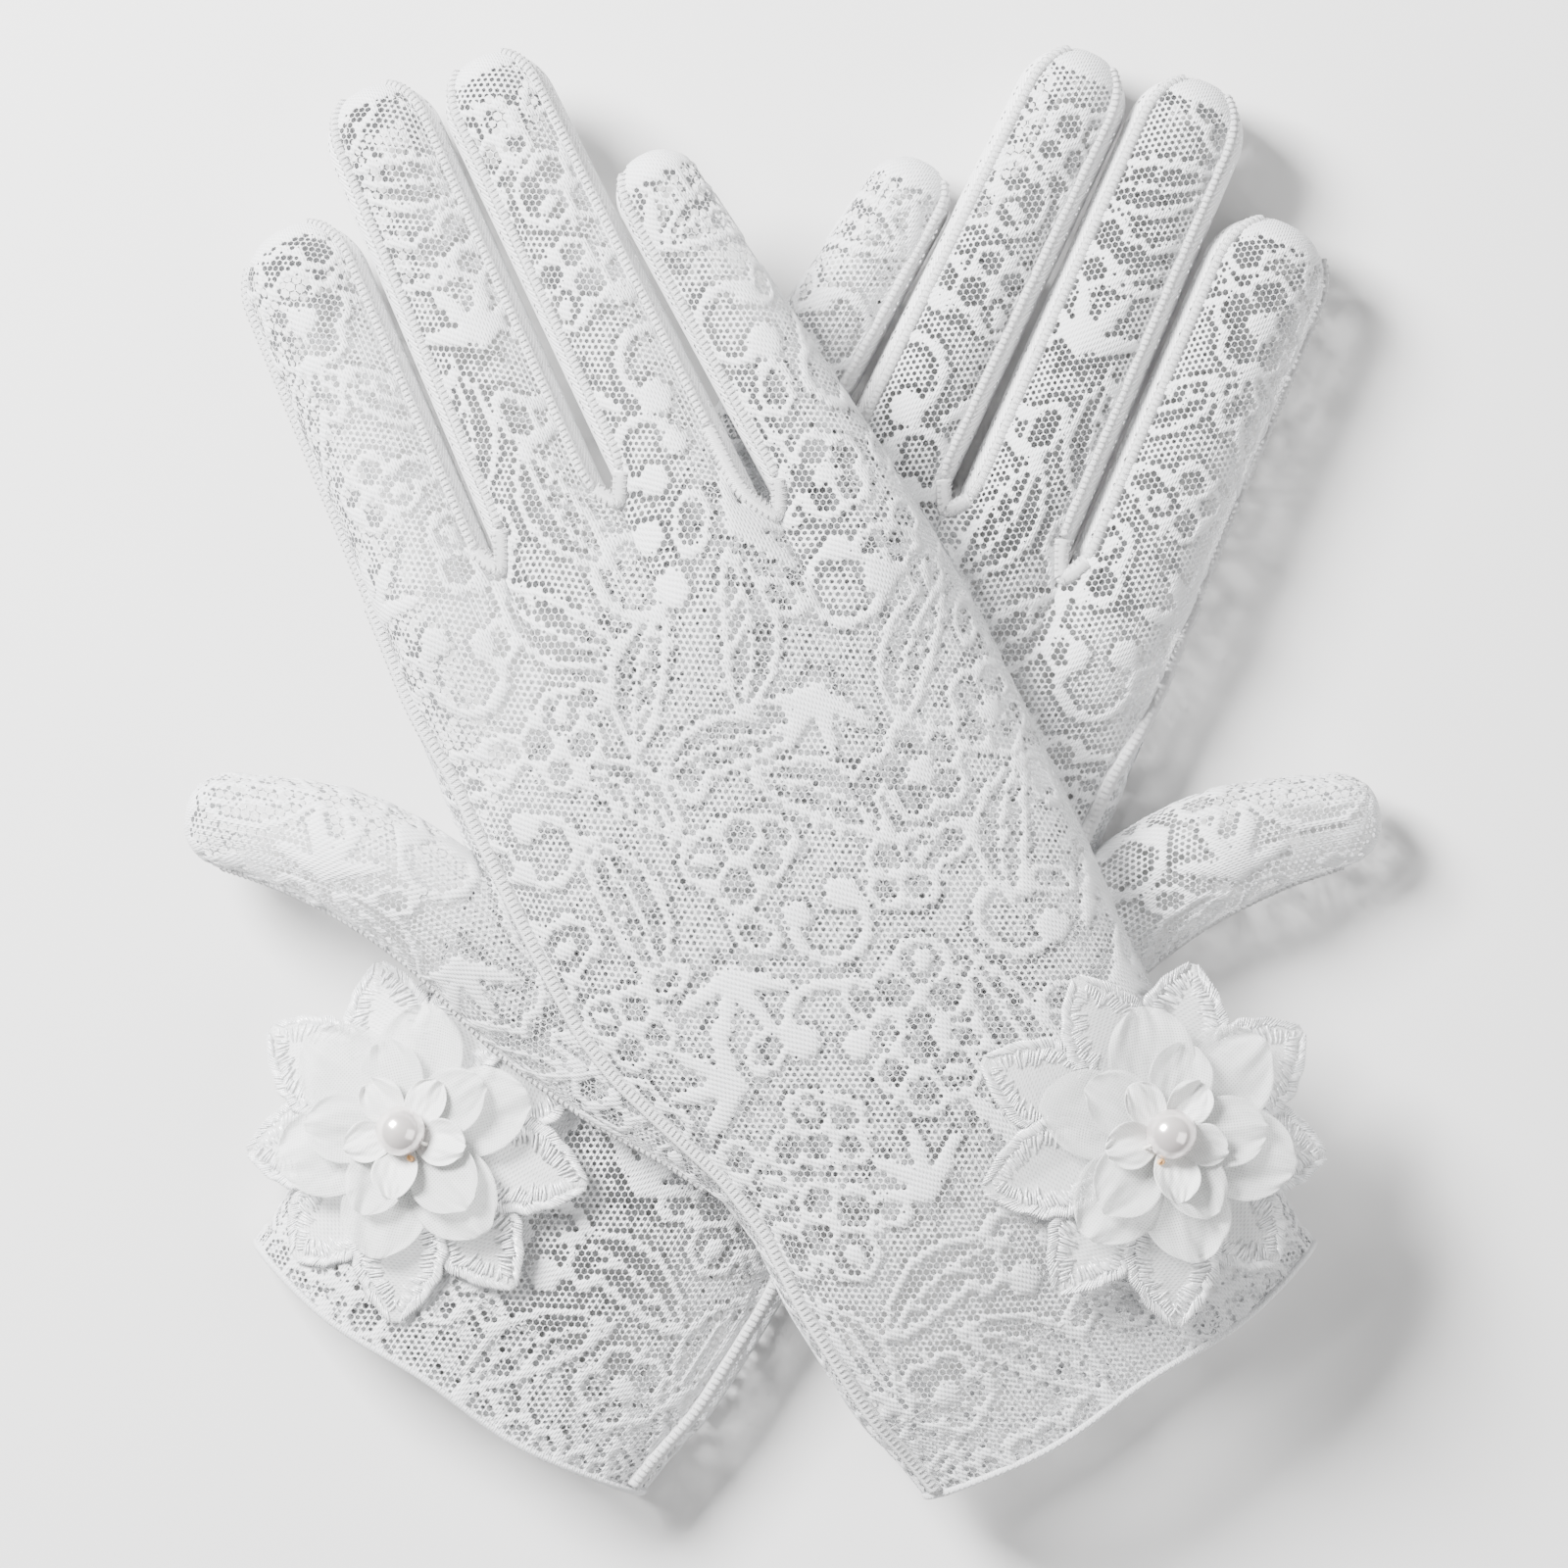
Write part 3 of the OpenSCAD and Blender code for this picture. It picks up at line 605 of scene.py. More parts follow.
def knit(glove, name, lattice, keep, finger, clamp, surface, holes, material, relief=0.0):
    """Lace over the kept cells: shared corners, and a hole in each open cell.

    keep and finger are per cell; clamp(U, V, finger) pulls corners to the piece's edge, and
    surface(U, V, finger) gives the place of each corner in the glove's frame.
    """
    key = lattice.key[keep]
    fingers = finger[keep]
    centre = lattice.centre[keep]
    size = holes[keep].copy()
    corners = (key[:, None, :] + lattice.ring).reshape(-1, 2)
    owner = np.repeat(fingers, 6)
    flat = corners * [lattice.r / 2, lattice.half]
    apart = split_above_web(flat, name)
    tag = np.where(apart, owner, 9)
    keys = np.stack([corners[:, 0], corners[:, 1], tag], -1)
    unique, first, inverse = np.unique(keys, axis=0, return_index=True, return_inverse=True)
    inverse = inverse.reshape(-1)
    own = owner[first]
    own = np.where(unique[:, 2] == 9, nearest_finger(flat[first][:, 0], name), own)
    uv = flat[first]
    cu, cv = clamp(uv[:, 0], uv[:, 1], own)
    moved = (np.abs(cu - uv[:, 0]) + np.abs(cv - uv[:, 1])) > 1e-6
    at_edge = moved[inverse].reshape(-1, 6).any(1)
    size[at_edge] = 0
    open_cells = np.flatnonzero(size > 0)
    shut_cells = np.flatnonzero(size <= 0)
    n = len(unique)
    ring = lattice.ring * [lattice.r / 2, lattice.half]
    inner = (centre[open_cells][:, None, :] + ring * size[open_cells][:, None, None]).reshape(-1, 2)
    all_u = np.concatenate([cu, inner[:, 0]])
    all_v = np.concatenate([cv, inner[:, 1]])
    all_f = np.concatenate([own, np.repeat(fingers[open_cells], 6)])
    outer = inverse.reshape(-1, 6)
    local = surface(all_u, all_v, all_f)
    if relief:
        solid = 1 - smooth(size, 0.15, 0.6)
        total = np.bincount(outer.ravel(), np.repeat(solid, 6), minlength=n)
        near = np.bincount(outer.ravel(), minlength=n)
        raised = np.concatenate([total / np.maximum(near, 1), np.repeat(solid[open_cells], 6)])
        side = surface(all_u + 0.4, all_v, all_f) - local
        ahead = surface(all_u, all_v + 0.4, all_f) - local
        normal = np.cross(side, ahead)
        normal /= np.maximum(np.linalg.norm(normal, axis=1), 1e-9)[:, None]
        local = local + normal * (raised * relief)[:, None]
    points = glove.world(local)
    a = outer[open_cells]
    b = n + np.arange(len(open_cells) * 6).reshape(-1, 6)
    quads = np.stack([a, np.roll(a, -1, 1), np.roll(b, -1, 1), b], -1).reshape(-1)
    caps = outer[shut_cells].reshape(-1)
    loops = np.concatenate([quads, caps])
    counts = np.concatenate([np.full(len(open_cells) * 6, 4), np.full(len(shut_cells), 6)])
    if glove.mirrored:
        loops = flip(loops, counts)
    uv_all = np.stack([all_u, all_v], -1) * 0.1
    return make_object(name, points, loops, counts, material, uv_all)


def flip(loops, counts):
    """Turns every face over."""
    ends = np.cumsum(counts)
    starts = ends - counts
    index = np.arange(len(loops))
    face = np.repeat(np.arange(len(counts)), counts)
    return loops[starts[face] + ends[face] - 1 - index]


def nearest_finger(U, name):
    """Number of the finger that each U belongs to, on the back's pattern or the palm's."""
    cuts = PALM_CUT if "palm" in name else BACK_CUT
    return np.searchsorted(cuts, U)


def split_above_web(flat, name):
    """True for corners that lie beyond the web beside them, where fingers part."""
    cuts = PALM_CUT if "palm" in name else BACK_CUT
    if "thumb" in name or "strip" in name:
        return np.zeros(len(flat), bool)
    nearest = np.abs(flat[:, :1] - cuts[None, :]).argmin(1)
    return flat[:, 1] > np.array(WEB_V)[nearest]


def web_arc(k, cut, web_v, V, radius, mids=BACK_MID, cuts=BACK_CUT):
    """Arc from finger k's crest to its strip's edge, from the web's fold to beside the finger."""
    return mix(abs(cuts[cut] - mids[k]) / radius, BACK_ARC, smooth(V, web_v, web_v + 9))


def finger_limits(glove, k, V, back):
    """Lowest and highest U that finger k's back or palm covers at V."""
    mids, cuts = (BACK_MID, BACK_CUT) if back else (PALM_MID, PALM_CUT)
    r, _ = glove.finger_size(k, V)
    outer = OUTER_ARC if back else math.pi - OUTER_ARC
    limits = []
    for step, cut in ((-1, k - 1), (1, k)):
        if 0 <= cut < len(cuts):
            edge = mids[k] + step * r * web_arc(k, cut, WEB_V[cut], V, r, mids, cuts)
            edge = np.where(V <= WEB_V[cut], cuts[cut], edge)
        else:
            web = WEB_V[0 if step < 0 else 2]
            t = smooth(V, web - WEB_BLEND, web)
            edge = mix(hand_limit(step, V, back), mids[k] + step * r * outer, t)
        limits.append(edge)
    return limits


def hand_limit(step, V, back):
    """Edge of the hand's back or palm on the thumb's side (step -1) or the other side (1)."""
    if not back:
        return radial_edge(V) if step < 0 else ulnar_edge(V)
    if step > 0:
        return SECTION.edge(SECTION.high, V)
    hole = smooth(V, 57, 75) * (1 - smooth(V, 113, 121))
    return mix(SECTION.edge(SECTION.low, V), SECTION.edge(SECTION.seam, V), hole)


def piece_limits(glove, V, fingers, back):
    """Lowest and highest U of the back or palm, with the nearest finger given for each place."""
    low, high = np.zeros(V.shape), np.zeros(V.shape)
    for k in range(len(FINGERS)):
        mine = fingers == k
        if mine.any():
            low[mine], high[mine] = finger_limits(glove, k, V[mine], back)
    return low, high


def finger_end(f):
    """V at the very tip of a finger, round its dome."""
    _, _, base_v, _, _, r1, length, _, _ = f
    return base_v + length - r1 + r1 * math.pi / 2


FINGER_END = np.array([finger_end(f) for f in FINGERS])


def panel(glove, back, material):
    """The whole back or palm, cut into the hand and its four fingers."""
    kind = "back" if back else "palm"
    pitch = PITCH if back else PALM_PITCH
    grid = Lattice(-70, 70, 0, PATTERN_END, pitch)
    U, V = grid.centre.T
    fingers = nearest_finger(U, kind)
    low, high = piece_limits(glove, V, fingers, back)
    ends = FINGER_END[fingers]
    inside = (U > low) & (U < high) & (V > 0) & (V < ends - 0.2)
    holes = lace_holes(U, V, 0.0 if back else 37.0)
    holes = np.where(ends - V < FINGER_CAP, DENSE, holes)
    starts = FINGER_START[fingers]
    out = {}

    def clamp(u, v, f):
        v = np.clip(v, 0, FINGER_END[f] - 0.02)
        lo, hi = piece_limits(glove, v, f, back)
        return np.clip(u, lo, hi), v

    def surface(u, v, f):
        return glove.surface(f, u, v, back)

    parts = [("hand", inside & (V < starts))]
    parts += [(f[0], inside & (V >= starts) & (fingers == k)) for k, f in enumerate(FINGERS)]
    for part, keep in parts:
        name = f"{glove.side}_{part}_{kind}_lace"
        relief = RELIEF if back else 0.0
        out[part] = knit(glove, name, grid, keep, fingers, clamp, surface, holes, material, relief)
    return out


def strips(glove, material):
    """Plain strips down the sides of the fingers, meeting in a fold at each web."""
    out = {}
    for k in range(len(FINGERS)):
        for step, cut in ((-1, k - 1), (1, k)):
            if not 0 <= cut < len(WEB_V):
                continue
            web = WEB_V[cut]
            grid = Lattice(-9.5, 9.5, web, PATTERN_END, PITCH)
            X, V = grid.centre.T
            end = FINGER_END[k]

            def reach(v, k=k, cut=cut, web=web):
                return glove.finger_size(k, v)[0] * (math.pi / 2 - web_arc(k, cut, web, v, FINGERS[k][4]))

            def clamp(x, v, f, end=end, web=web, reach=reach):
                v = np.clip(v, web, end - 0.02)
                return np.clip(x, -reach(v), reach(v)), v

            def surface(x, v, f, k=k, step=step):
                r, _ = glove.finger_size(k, v)
                angle = step * (math.pi / 2 - x / np.maximum(r, 0.05))
                p = glove.finger(k, angle, v)
                return p + glove.web_shift(k, k + step, angle, v)

            keep = (np.abs(X) < reach(V)) & (V > web) & (V < end - 0.2)
            cells = np.full(len(X), k)
            holes = plain_holes(X, V)
            side = "outer" if step > 0 else "inner"
            for part, zone in (("web", V < FINGER_START[k]), ("strip", V >= FINGER_START[k])):
                name = f"{glove.side}_{FINGERS[k][0]}_{side}_strip_{part}"
                piece = knit(glove, name, grid, keep & zone, cells, clamp, surface, holes, material)
                out[k, step, part] = piece
    return out


def thumb_pieces(glove, lace):
    """The thumb's top and underside, cut into a base on the hand and a tip."""
    out = {}
    for back in (True, False):
        pitch = PITCH if back else PALM_PITCH
        grid = Lattice(-50, 50, 0, THUMB.end_s, pitch)
        X, S = grid.centre.T

        def reach(s):
            return THUMB.at(s)[2] * (math.pi / 2)

        def clamp(x, s, f):
            s = np.clip(s, 0, THUMB.end_s - 0.02)
            return np.clip(x, -reach(s), reach(s)), s

        def surface(x, s, f, back=back):
            return glove.thumb(x, s, back)

        local = surface(X, S, None)
        in_hand = local[:, 0] > radial_edge(local[:, 1]) + 2.4
        keep = (np.abs(X) < reach(S)) & (S > 0) & (S < THUMB.end_s - 0.2) & ~in_hand
        holes = lace_holes(X + 20, S, 61.0)
        holes = np.where(THUMB.end_s - S < THUMB_CAP, DENSE, holes)
        cells = np.zeros(len(X), int)
        kind = "top" if back else "under"
        for part, zone in (("base", S < THUMB.split_s), ("tip", S >= THUMB.split_s)):
            name = f"{glove.side}_thumb_{part}_{kind}"
            relief = RELIEF if back else 0.0
            piece = knit(glove, name, grid, keep & zone, cells, clamp, surface, holes, lace, relief)
            out[part, kind] = piece
    return out


def quad_grid(rows, cols, width, wrap_at=None):
    """Corners of rows x cols faces over a grid of points, width points to a row.

    The faces close round a row when cols is width, and round the rows when wrap_at is their number.
    """
    i, j = np.meshgrid(np.arange(rows), np.arange(cols), indexing="ij")
    nxt = (i + 1) % wrap_at if wrap_at else i + 1
    side = (j + 1) % width
    return np.stack([i * width + j, i * width + side, nxt * width + side, nxt * width + j], -1)


def tube(name, path, radius, hint, material, closed=False):
    """A cord along a path in world metres; hint is the way its upper side faces."""
    sides = 8
    hint = np.broadcast_to(np.asarray(hint, float), path.shape)
    if closed:
        along = unit(np.roll(path, -1, 0) - np.roll(path, 1, 0))
    else:
        along = unit(np.gradient(path, axis=0))
    up = unit(hint - (hint * along).sum(1)[:, None] * along)
    across = np.cross(along, up)
    angle = np.arange(sides) * 2 * math.pi / sides
    ring = up[:, None] * np.cos(angle)[:, None] + across[:, None] * np.sin(angle)[:, None]
    points = (path[:, None] + ring * radius).reshape(-1, 3)
    rows = len(path) if closed else len(path) - 1
    loops = quad_grid(rows, sides, sides, len(path)).reshape(-1)
    counts = np.full(rows * sides, 4)
    if not closed:
        ends = np.concatenate([np.arange(sides)[::-1], (len(path) - 1) * sides + np.arange(sides)])
        loops = np.concatenate([loops, ends])
        counts = np.concatenate([counts, [sides, sides]])
    run = distance_along(path) * 100
    uv = np.stack([np.repeat(run, sides), np.tile(angle * 0.05, len(path))], -1)
    return make_object(name, points, loops, counts, material, uv)


def stitches(name, starts, ends, up, radius, bow, material):
    """Many short thread stitches in one piece, each bowed upwards between its two ends."""
    up = np.broadcast_to(np.asarray(up, float), starts.shape)
    along = unit(ends - starts)
    across = unit(np.cross(along, up))
    top = np.cross(across, along)
    shares = np.array([0.0, 0.2, 0.8, 1.0])
    widths = np.array([0.4, 1.0, 1.0, 0.4]) * radius
    heights = bow * 4 * shares * (1 - shares)
    angle = (np.arange(4) + 0.5) * math.pi / 2
    centre = starts[:, None] + (ends - starts)[:, None] * shares[:, None]
    centre = centre + top[:, None] * heights[:, None]
    ring = (
        across[:, None, None] * np.cos(angle)[:, None] + top[:, None, None] * np.sin(angle)[:, None]
    ) * widths[:, None, None]
    points = (centre[:, :, None] + ring).reshape(-1, 3)
    caps = np.concatenate([np.arange(4)[::-1], 12 + np.arange(4)])
    one = np.concatenate([quad_grid(3, 4, 4).reshape(-1), caps])
    loops = (np.arange(len(starts))[:, None] * 16 + one).reshape(-1)
    counts = np.full(14 * len(starts), 4)
    uv = np.tile(np.stack([np.repeat(shares, 4), np.tile(angle, 4)], -1), (len(starts), 1))
    return make_object(name, points, loops, counts, material, uv)


def sheet_grid(name, points, material, uv=None, wrap=False, turn_over=False):
    """A surface through a grid of world points."""
    rows, cols = points.shape[:2]
    spans = cols if wrap else cols - 1
    quads = quad_grid(rows - 1, spans, cols)
    loops = (quads[..., ::-1] if turn_over else quads).reshape(-1)
    counts = np.full((rows - 1) * spans, 4)
    if uv is None:
        v, u = np.meshgrid(np.linspace(0, 1, rows), np.linspace(0, 1, cols), indexing="ij")
        uv = np.stack([u, v], -1)
    return make_object(name, points.reshape(-1, 3), loops, counts, material, uv.reshape(-1, 2))


def thicken(obj, amount):
    """Gives a sheet its thickness, in millimetres, as part of its mesh."""
    solid = obj.modifiers.new("thickness", "SOLIDIFY")
    solid.thickness = amount * MM
    solid.offset = 0
    depsgraph = bpy.context.evaluated_depsgraph_get()
    mesh = bpy.data.meshes.new_from_object(obj.evaluated_get(depsgraph))
    obj.modifiers.clear()
    obj.data = mesh
    return obj


# ---------------------------------------------------------------- seams and hem


def seam_line(glove, V):
    """Pattern place of the piping seam: down the radial side and on along the index finger."""
    r, _ = glove.finger_size(0, V)
    t = smooth(V, WEB_V[0] - WEB_BLEND, WEB_V[0])
    U = mix(SECTION.edge(SECTION.seam, V), BACK_MID[0] - r * OUTER_ARC, t)
    return glove.surface(np.zeros(len(V), int), U, V, True)


def cord_on(glove, name, local, out, radius, material):
    """Piping along local points, with stitches wrapped over it; out is the way it stands proud."""
    path = glove.world(local)
    out = np.asarray(out, float) @ glove.axes
    ridge = tube(name + "_piping", path, radius * MM, out, material)
    run = distance_along(path) / MM
    count = max(int(run[-1] / STITCH_STEP), 2)
    spots = np.linspace(0.4, run[-1] - 0.4, count)
    centre = np.stack([np.interp(spots, run, path[:, c]) for c in range(3)], -1)
    along = unit(np.gradient(centre, axis=0))
    facing = unit(out - (out * along).sum(1)[:, None] * along)
    across = np.cross(along, facing)
    a = centre - across * (radius + 0.25) * MM - along * 0.3 * MM
    b = centre + across * (radius + 0.25) * MM + along * 0.3 * MM
    wraps = stitches(name + "_stitches", a, b, facing, STITCH_R * MM, (radius + 0.15) * MM, material)
    return ridge, wraps


# ---------------------------------------------------------------- materials


def new_material(name):
    """A node material, with its nodes, its links and its shader."""
    mat = bpy.data.materials.new(name)
    mat.use_nodes = True
    tree = mat.node_tree
    return mat, tree.nodes, tree.links, tree.nodes["Principled BSDF"]


def set_inputs(node, **values):
    """Sets numbers and colours on a node's own sockets; an underscore in a name stands for a space."""
    for name, value in values.items():
        node.inputs[name.replace("_", " ")].default_value = value


def add_node(nodes, kind, **values):
    """A new shader node with its inputs set."""
    node = nodes.new("ShaderNode" + kind)
    set_inputs(node, **values)
    return node


def pattern_uv(nodes):
    """The piece's pattern coordinates, in centimetres."""
    uv = add_node(nodes, "UVMap")
    uv.uv_map = "pattern"
    return uv.outputs["UV"]


def bands(nodes, direction, **values):
    """Waves of threads across one direction."""
    wave = add_node(nodes, "TexWave", **values)
    wave.bands_direction = direction
    return wave


def crossed(nodes, links, one, other):
    """Height of a weave: the product of two sets of waves."""
    weave = add_node(nodes, "Math")
    weave.operation = "MULTIPLY"
    links.new(one.outputs["Fac"], weave.inputs[0])
    links.new(other.outputs["Fac"], weave.inputs[1])
    return weave.outputs["Value"]


def colour_by(nodes, links, source, low, high, target):
    """Colours target by source, from low to high."""
    node = add_node(nodes, "ValToRGB")
    for element, position, colour in zip(node.color_ramp.elements, (0.3, 0.7), (low, high)):
        element.position = position
        element.color = (*colour, 1)
    links.new(source, node.inputs["Fac"])
    links.new(node.outputs["Color"], target)


def raise_by(nodes, links, height, strength, depth, shader):
    """Bumps the shader's surface by height."""
    bump = add_node(nodes, "Bump", Strength=strength, Distance=depth)
    links.new(height, bump.inputs["Height"])
    links.new(bump.outputs["Normal"], shader.inputs["Normal"])


def knit_material(name, low, high, scale, relief, rough=0.75, sheen=0.25, through=0.12):
    """White yarn: V-shaped knit rows in relief, uneven yarn colour and a soft sheen."""
    mat, nodes, links, shader = new_material(name)
    uv = pattern_uv(nodes)
    wales = bands(nodes, "X", Scale=scale, Distortion=1.5, Detail_Scale=4)
    courses = bands(nodes, "DIAGONAL", Scale=scale * 0.8, Distortion=0.8)
    fuzz = add_node(nodes, "TexNoise", Scale=40, Detail=4)
    for node in (wales, courses, fuzz):
        links.new(uv, node.inputs["Vector"])
    colour_by(nodes, links, fuzz.outputs["Fac"], low, high, shader.inputs["Base Color"])
    raise_by(nodes, links, crossed(nodes, links, wales, courses), relief, 0.0003, shader)
    set_inputs(
        shader, Roughness=rough, Sheen_Weight=sheen, Sheen_Roughness=0.4, Specular_IOR_Level=0.3,
        Subsurface_Weight=through, Subsurface_Radius=(0.001, 0.001, 0.001),
    )
    return mat


def chiffon_material(name, low, high, scale, opacity, rough, sheen, direction):
    """Thin woven petal cloth, partly see-through between its threads, with soft folds of colour."""
    mat, nodes, links, shader = new_material(name)
    uv = pattern_uv(nodes)
    warp = bands(nodes, direction, Scale=scale)
    weft = bands(nodes, "Y", Scale=scale)
    clouds = add_node(nodes, "TexNoise", Scale=3)
    for node in (warp, weft, clouds):
        links.new(uv, node.inputs["Vector"])
    weave = crossed(nodes, links, warp, weft)
    colour_by(nodes, links, clouds.outputs["Fac"], low, high, shader.inputs["Base Color"])
    dense, thin = (opacity + 0.12,) * 3, (opacity - 0.12,) * 3
    colour_by(nodes, links, weave, dense, thin, shader.inputs["Alpha"])
    raise_by(nodes, links, weave, 0.4, 0.0002, shader)
    set_inputs(shader, Roughness=rough, Sheen_Weight=sheen, Specular_IOR_Level=0.35)
    return mat


def thread_material(name, low, high, rough, metallic=0.0):
    """Smooth twisted thread with a silky shine and colour that changes in fine spots: slight for most
    threads, painted glints and shade where low and high lie far apart.
    """
    mat, nodes, links, shader = new_material(name)
    place = add_node(nodes, "TexCoord").outputs["Object"]
    noise = add_node(nodes, "TexNoise", Scale=900)
    twist = bands(nodes, "DIAGONAL", Scale=1500)
    for node in (noise, twist):
        links.new(place, node.inputs["Vector"])
    colour_by(nodes, links, noise.outputs["Fac"], low, high, shader.inputs["Base Color"])
    raise_by(nodes, links, twist.outputs["Fac"], 0.3, 0.0001, shader)
    set_inputs(shader, Roughness=rough, Metallic=metallic, Sheen_Weight=0.2)
    return mat


def pearl_material():
    """Nacre: creamy with a faint rose play and a metallic glow, under a clear coat."""
    mat, nodes, links, shader = new_material("pearl_nacre")
    clouds = add_node(nodes, "TexNoise", Scale=220, Detail=3)
    links.new(add_node(nodes, "TexCoord").outputs["Object"], clouds.inputs["Vector"])
    rose_tone, cream_tone = (0.74, 0.68, 0.67), (0.86, 0.82, 0.79)
    colour_by(nodes, links, clouds.outputs["Fac"], rose_tone, cream_tone, shader.inputs["Base Color"])
    set_inputs(
        shader, Roughness=0.2, Metallic=0.5, Coat_Weight=1.0, Coat_Roughness=0.06,
        Sheen_Weight=0.3, Sheen_Tint=(1.0, 0.85, 0.9, 1), Subsurface_Weight=0.2,
        Subsurface_Radius=(0.001, 0.001, 0.001),
    )
    return mat


# Knits: darkest and lightest tone, scale of the rows, relief, roughness, sheen, light let through
LACE = knit_material("lace_yarn", (0.68, 0.685, 0.695), (0.77, 0.775, 0.785), 7.5, 0.6, 0.75, 0.1, 0.02)
# The palm's lace is the back's yarn painted darker: painted shade, so that the inside of the glove seen
# through the holes looks shaded
SHADED_PALM_LACE = knit_material(
    "palm_lace_yarn_painted_shade", (0.52, 0.525, 0.535), (0.62, 0.625, 0.635), 7.5, 0.6, 0.75, 0.1, 0.02
)
PLAIN = knit_material("plain_knit", (0.88, 0.88, 0.885), (0.93, 0.93, 0.935), 8, 0.9)
PIPING = knit_material("piping_yarn", (0.88, 0.88, 0.885), (0.94, 0.94, 0.945), 26, 0.8)
# Petal cloths: darkest and lightest tone, scale of the threads, opacity, roughness, sheen, warp
ORGANZA = chiffon_material("organza", (0.80, 0.81, 0.81), (0.86, 0.86, 0.86), 7, 0.44, 0.4, 0.5, "DIAGONAL")
CHIFFON = chiffon_material("chiffon", (0.81, 0.82, 0.81), (0.88, 0.885, 0.88), 7, 0.38, 0.6, 0.5, "X")
TWILL = chiffon_material("twill", (0.83, 0.84, 0.83), (0.89, 0.89, 0.88), 11, 0.8, 0.45, 0.5, "DIAGONAL")
# Threads: darkest and lightest tone, roughness and metallic shine
# The satin thread runs from grey to white in fine spots: painted glints and shade, standing in for the
# sparkle of its stitches
SATIN_PAINTED_GLINTS = thread_material("satin_thread_painted_glints", (0.6, 0.61, 0.62), (0.95, 0.95, 0.96), 0.22, 0.1)
SEWING = thread_material("sewing_thread", (0.78, 0.74, 0.66), (0.88, 0.86, 0.82), 0.45)
AMBER = thread_material("amber_thread", (0.62, 0.33, 0.12), (0.75, 0.45, 0.2), 0.35)
NACRE = pearl_material()


# ---------------------------------------------------------------- flower

# Tilt of the flower over the little-finger side, and the pearl's height over its middle and radius
FLOWER_TILT = math.radians(16)
PEARL_RISE, PEARL_R = 7.4, 3.8


class Flower:
    """Place of a glove's flower: x out over the little-finger side, z its face."""

    def __init__(self, glove):
        self.glove = glove
        joint = next(j for j in frame["joints"] if j["name"] == glove.side + "_pearl_spin")
        middle = (np.array(joint["pos_m"]) - glove.origin) @ glove.axes.T / MM
        c, s = math.cos(FLOWER_TILT), math.sin(FLOWER_TILT)
        self.axes = np.array([[c, 0, -s], [0, 1, 0], [s, 0, c]])
        self.origin = middle - self.axes[2] * PEARL_RISE

    def local(self, p):
        """Points of the flower in the glove's frame."""
        return self.origin + np.asarray(p, float) @ self.axes

    def world(self, p):
        """Points of the flower in world metres."""
        return self.glove.world(self.local(p))

    def up(self):
        """The way the flower faces, in the world."""
        return self.axes[2] @ self.glove.axes

    def resting(self, p, gap):
        """Points lowered onto the back of the hand where they would sink into it."""
        q = self.local(p)
        u, v = q[..., 0], q[..., 1]
        half = (ulnar_edge(v) - radial_edge(v)) / 2 + 1.5
        a = (u - (ulnar_edge(v) + radial_edge(v)) / 2) / half
        top = HAND_HEIGHT * np.clip(1 - a * a, 0, 1) ** (FULLNESS / 2) + 0.4 + self.glove.lift(u, v)
        over = np.where(np.abs(a) < 1, top + gap, -50)
        q[..., 2] = np.maximum(q[..., 2], over)
        q[..., 2] = np.maximum(q[..., 2], 0.6)
        return self.glove.world(q)


def petal_outline(t, kind):
    """Half width of a petal as a share of its length, at distance t from its root."""
    if kind == "pointed":
        return 0.29 * np.sin(math.pi * np.clip(t, 0, 1) ** 1.2) ** 0.8
    tip = np.sqrt(1 - np.clip((t - 0.6) / 0.4, 0, 1) ** 2)
    return 0.36 * smooth(t, -0.25, 0.6) * tip


def petal_points(rng, kind, length, root, turn, rise, cup, droop, waves):
    """Grid of a petal's points: root at the middle of the flower, cupped and softly waved."""
    rows, cols = 41, 25
    t, s = np.meshgrid(np.linspace(0, 1, rows), np.linspace(-1, 1, cols), indexing="ij")
    span = 0.015 + 0.97 * t if kind == "pointed" else 0.02 + 0.935 * t
    half = length * petal_outline(span, kind)
    if kind == "pointed":
        half = half * (1 + 0.035 * np.cos(span * 44) * smooth(span, 0.15, 0.4))
    x = root + length * t + (0 if kind == "pointed" else -0.07 * length * s * s * t)
    y = s * half
    phase = rng.uniform(0, 2 * math.pi, 3)
    wave = waves * t * (
        0.8 * np.sin(4 * s + phase[0] + 2 * t) + 0.5 * np.sin(8 * s * t + phase[1])
        + 0.4 * np.sin(7 * t + phase[2])
        + 0.3 * np.sin(15 * s + 4 * t + phase[2]) * np.sin(9 * t + phase[0])
    )
    z = rise * t ** 0.8 + cup * s * s * np.sin(math.pi * np.clip(t, 0, 1) * 0.8) - droop * t * t + wave
    c, sn = math.cos(turn), math.sin(turn)
    return np.stack([x * c - y * sn, x * sn + y * c, z], -1)


def weave_uv(points):
    """Pattern coordinates of a petal in centimetres, so that its cloth has an even weave."""
    step_t = np.linalg.norm(np.diff(points, axis=0), axis=2).mean(1)
    step_s = np.linalg.norm(np.diff(points, axis=1), axis=2)
    v = np.concatenate([[0], np.cumsum(step_t)])[:, None] * np.ones(points.shape[1])
    u = np.concatenate([np.zeros((len(points), 1)), np.cumsum(step_s, axis=1)], 1)
    u = u - u[:, -1:] / 2
    return np.stack([u, v], -1) * 0.1


# Rows of satin stitches along both rims of a pointed petal: edge column of its grid, column that the
# stitches point to, their number, and where they begin and end as shares of their depth
RIM_ROWS = (
    (0, 9, 66, 0.0, 1.0), (-1, -10, 66, 0.0, 1.0), (0, 12, 56, 0.45, 2.1), (-1, 12, 56, 0.45, 2.1),
)


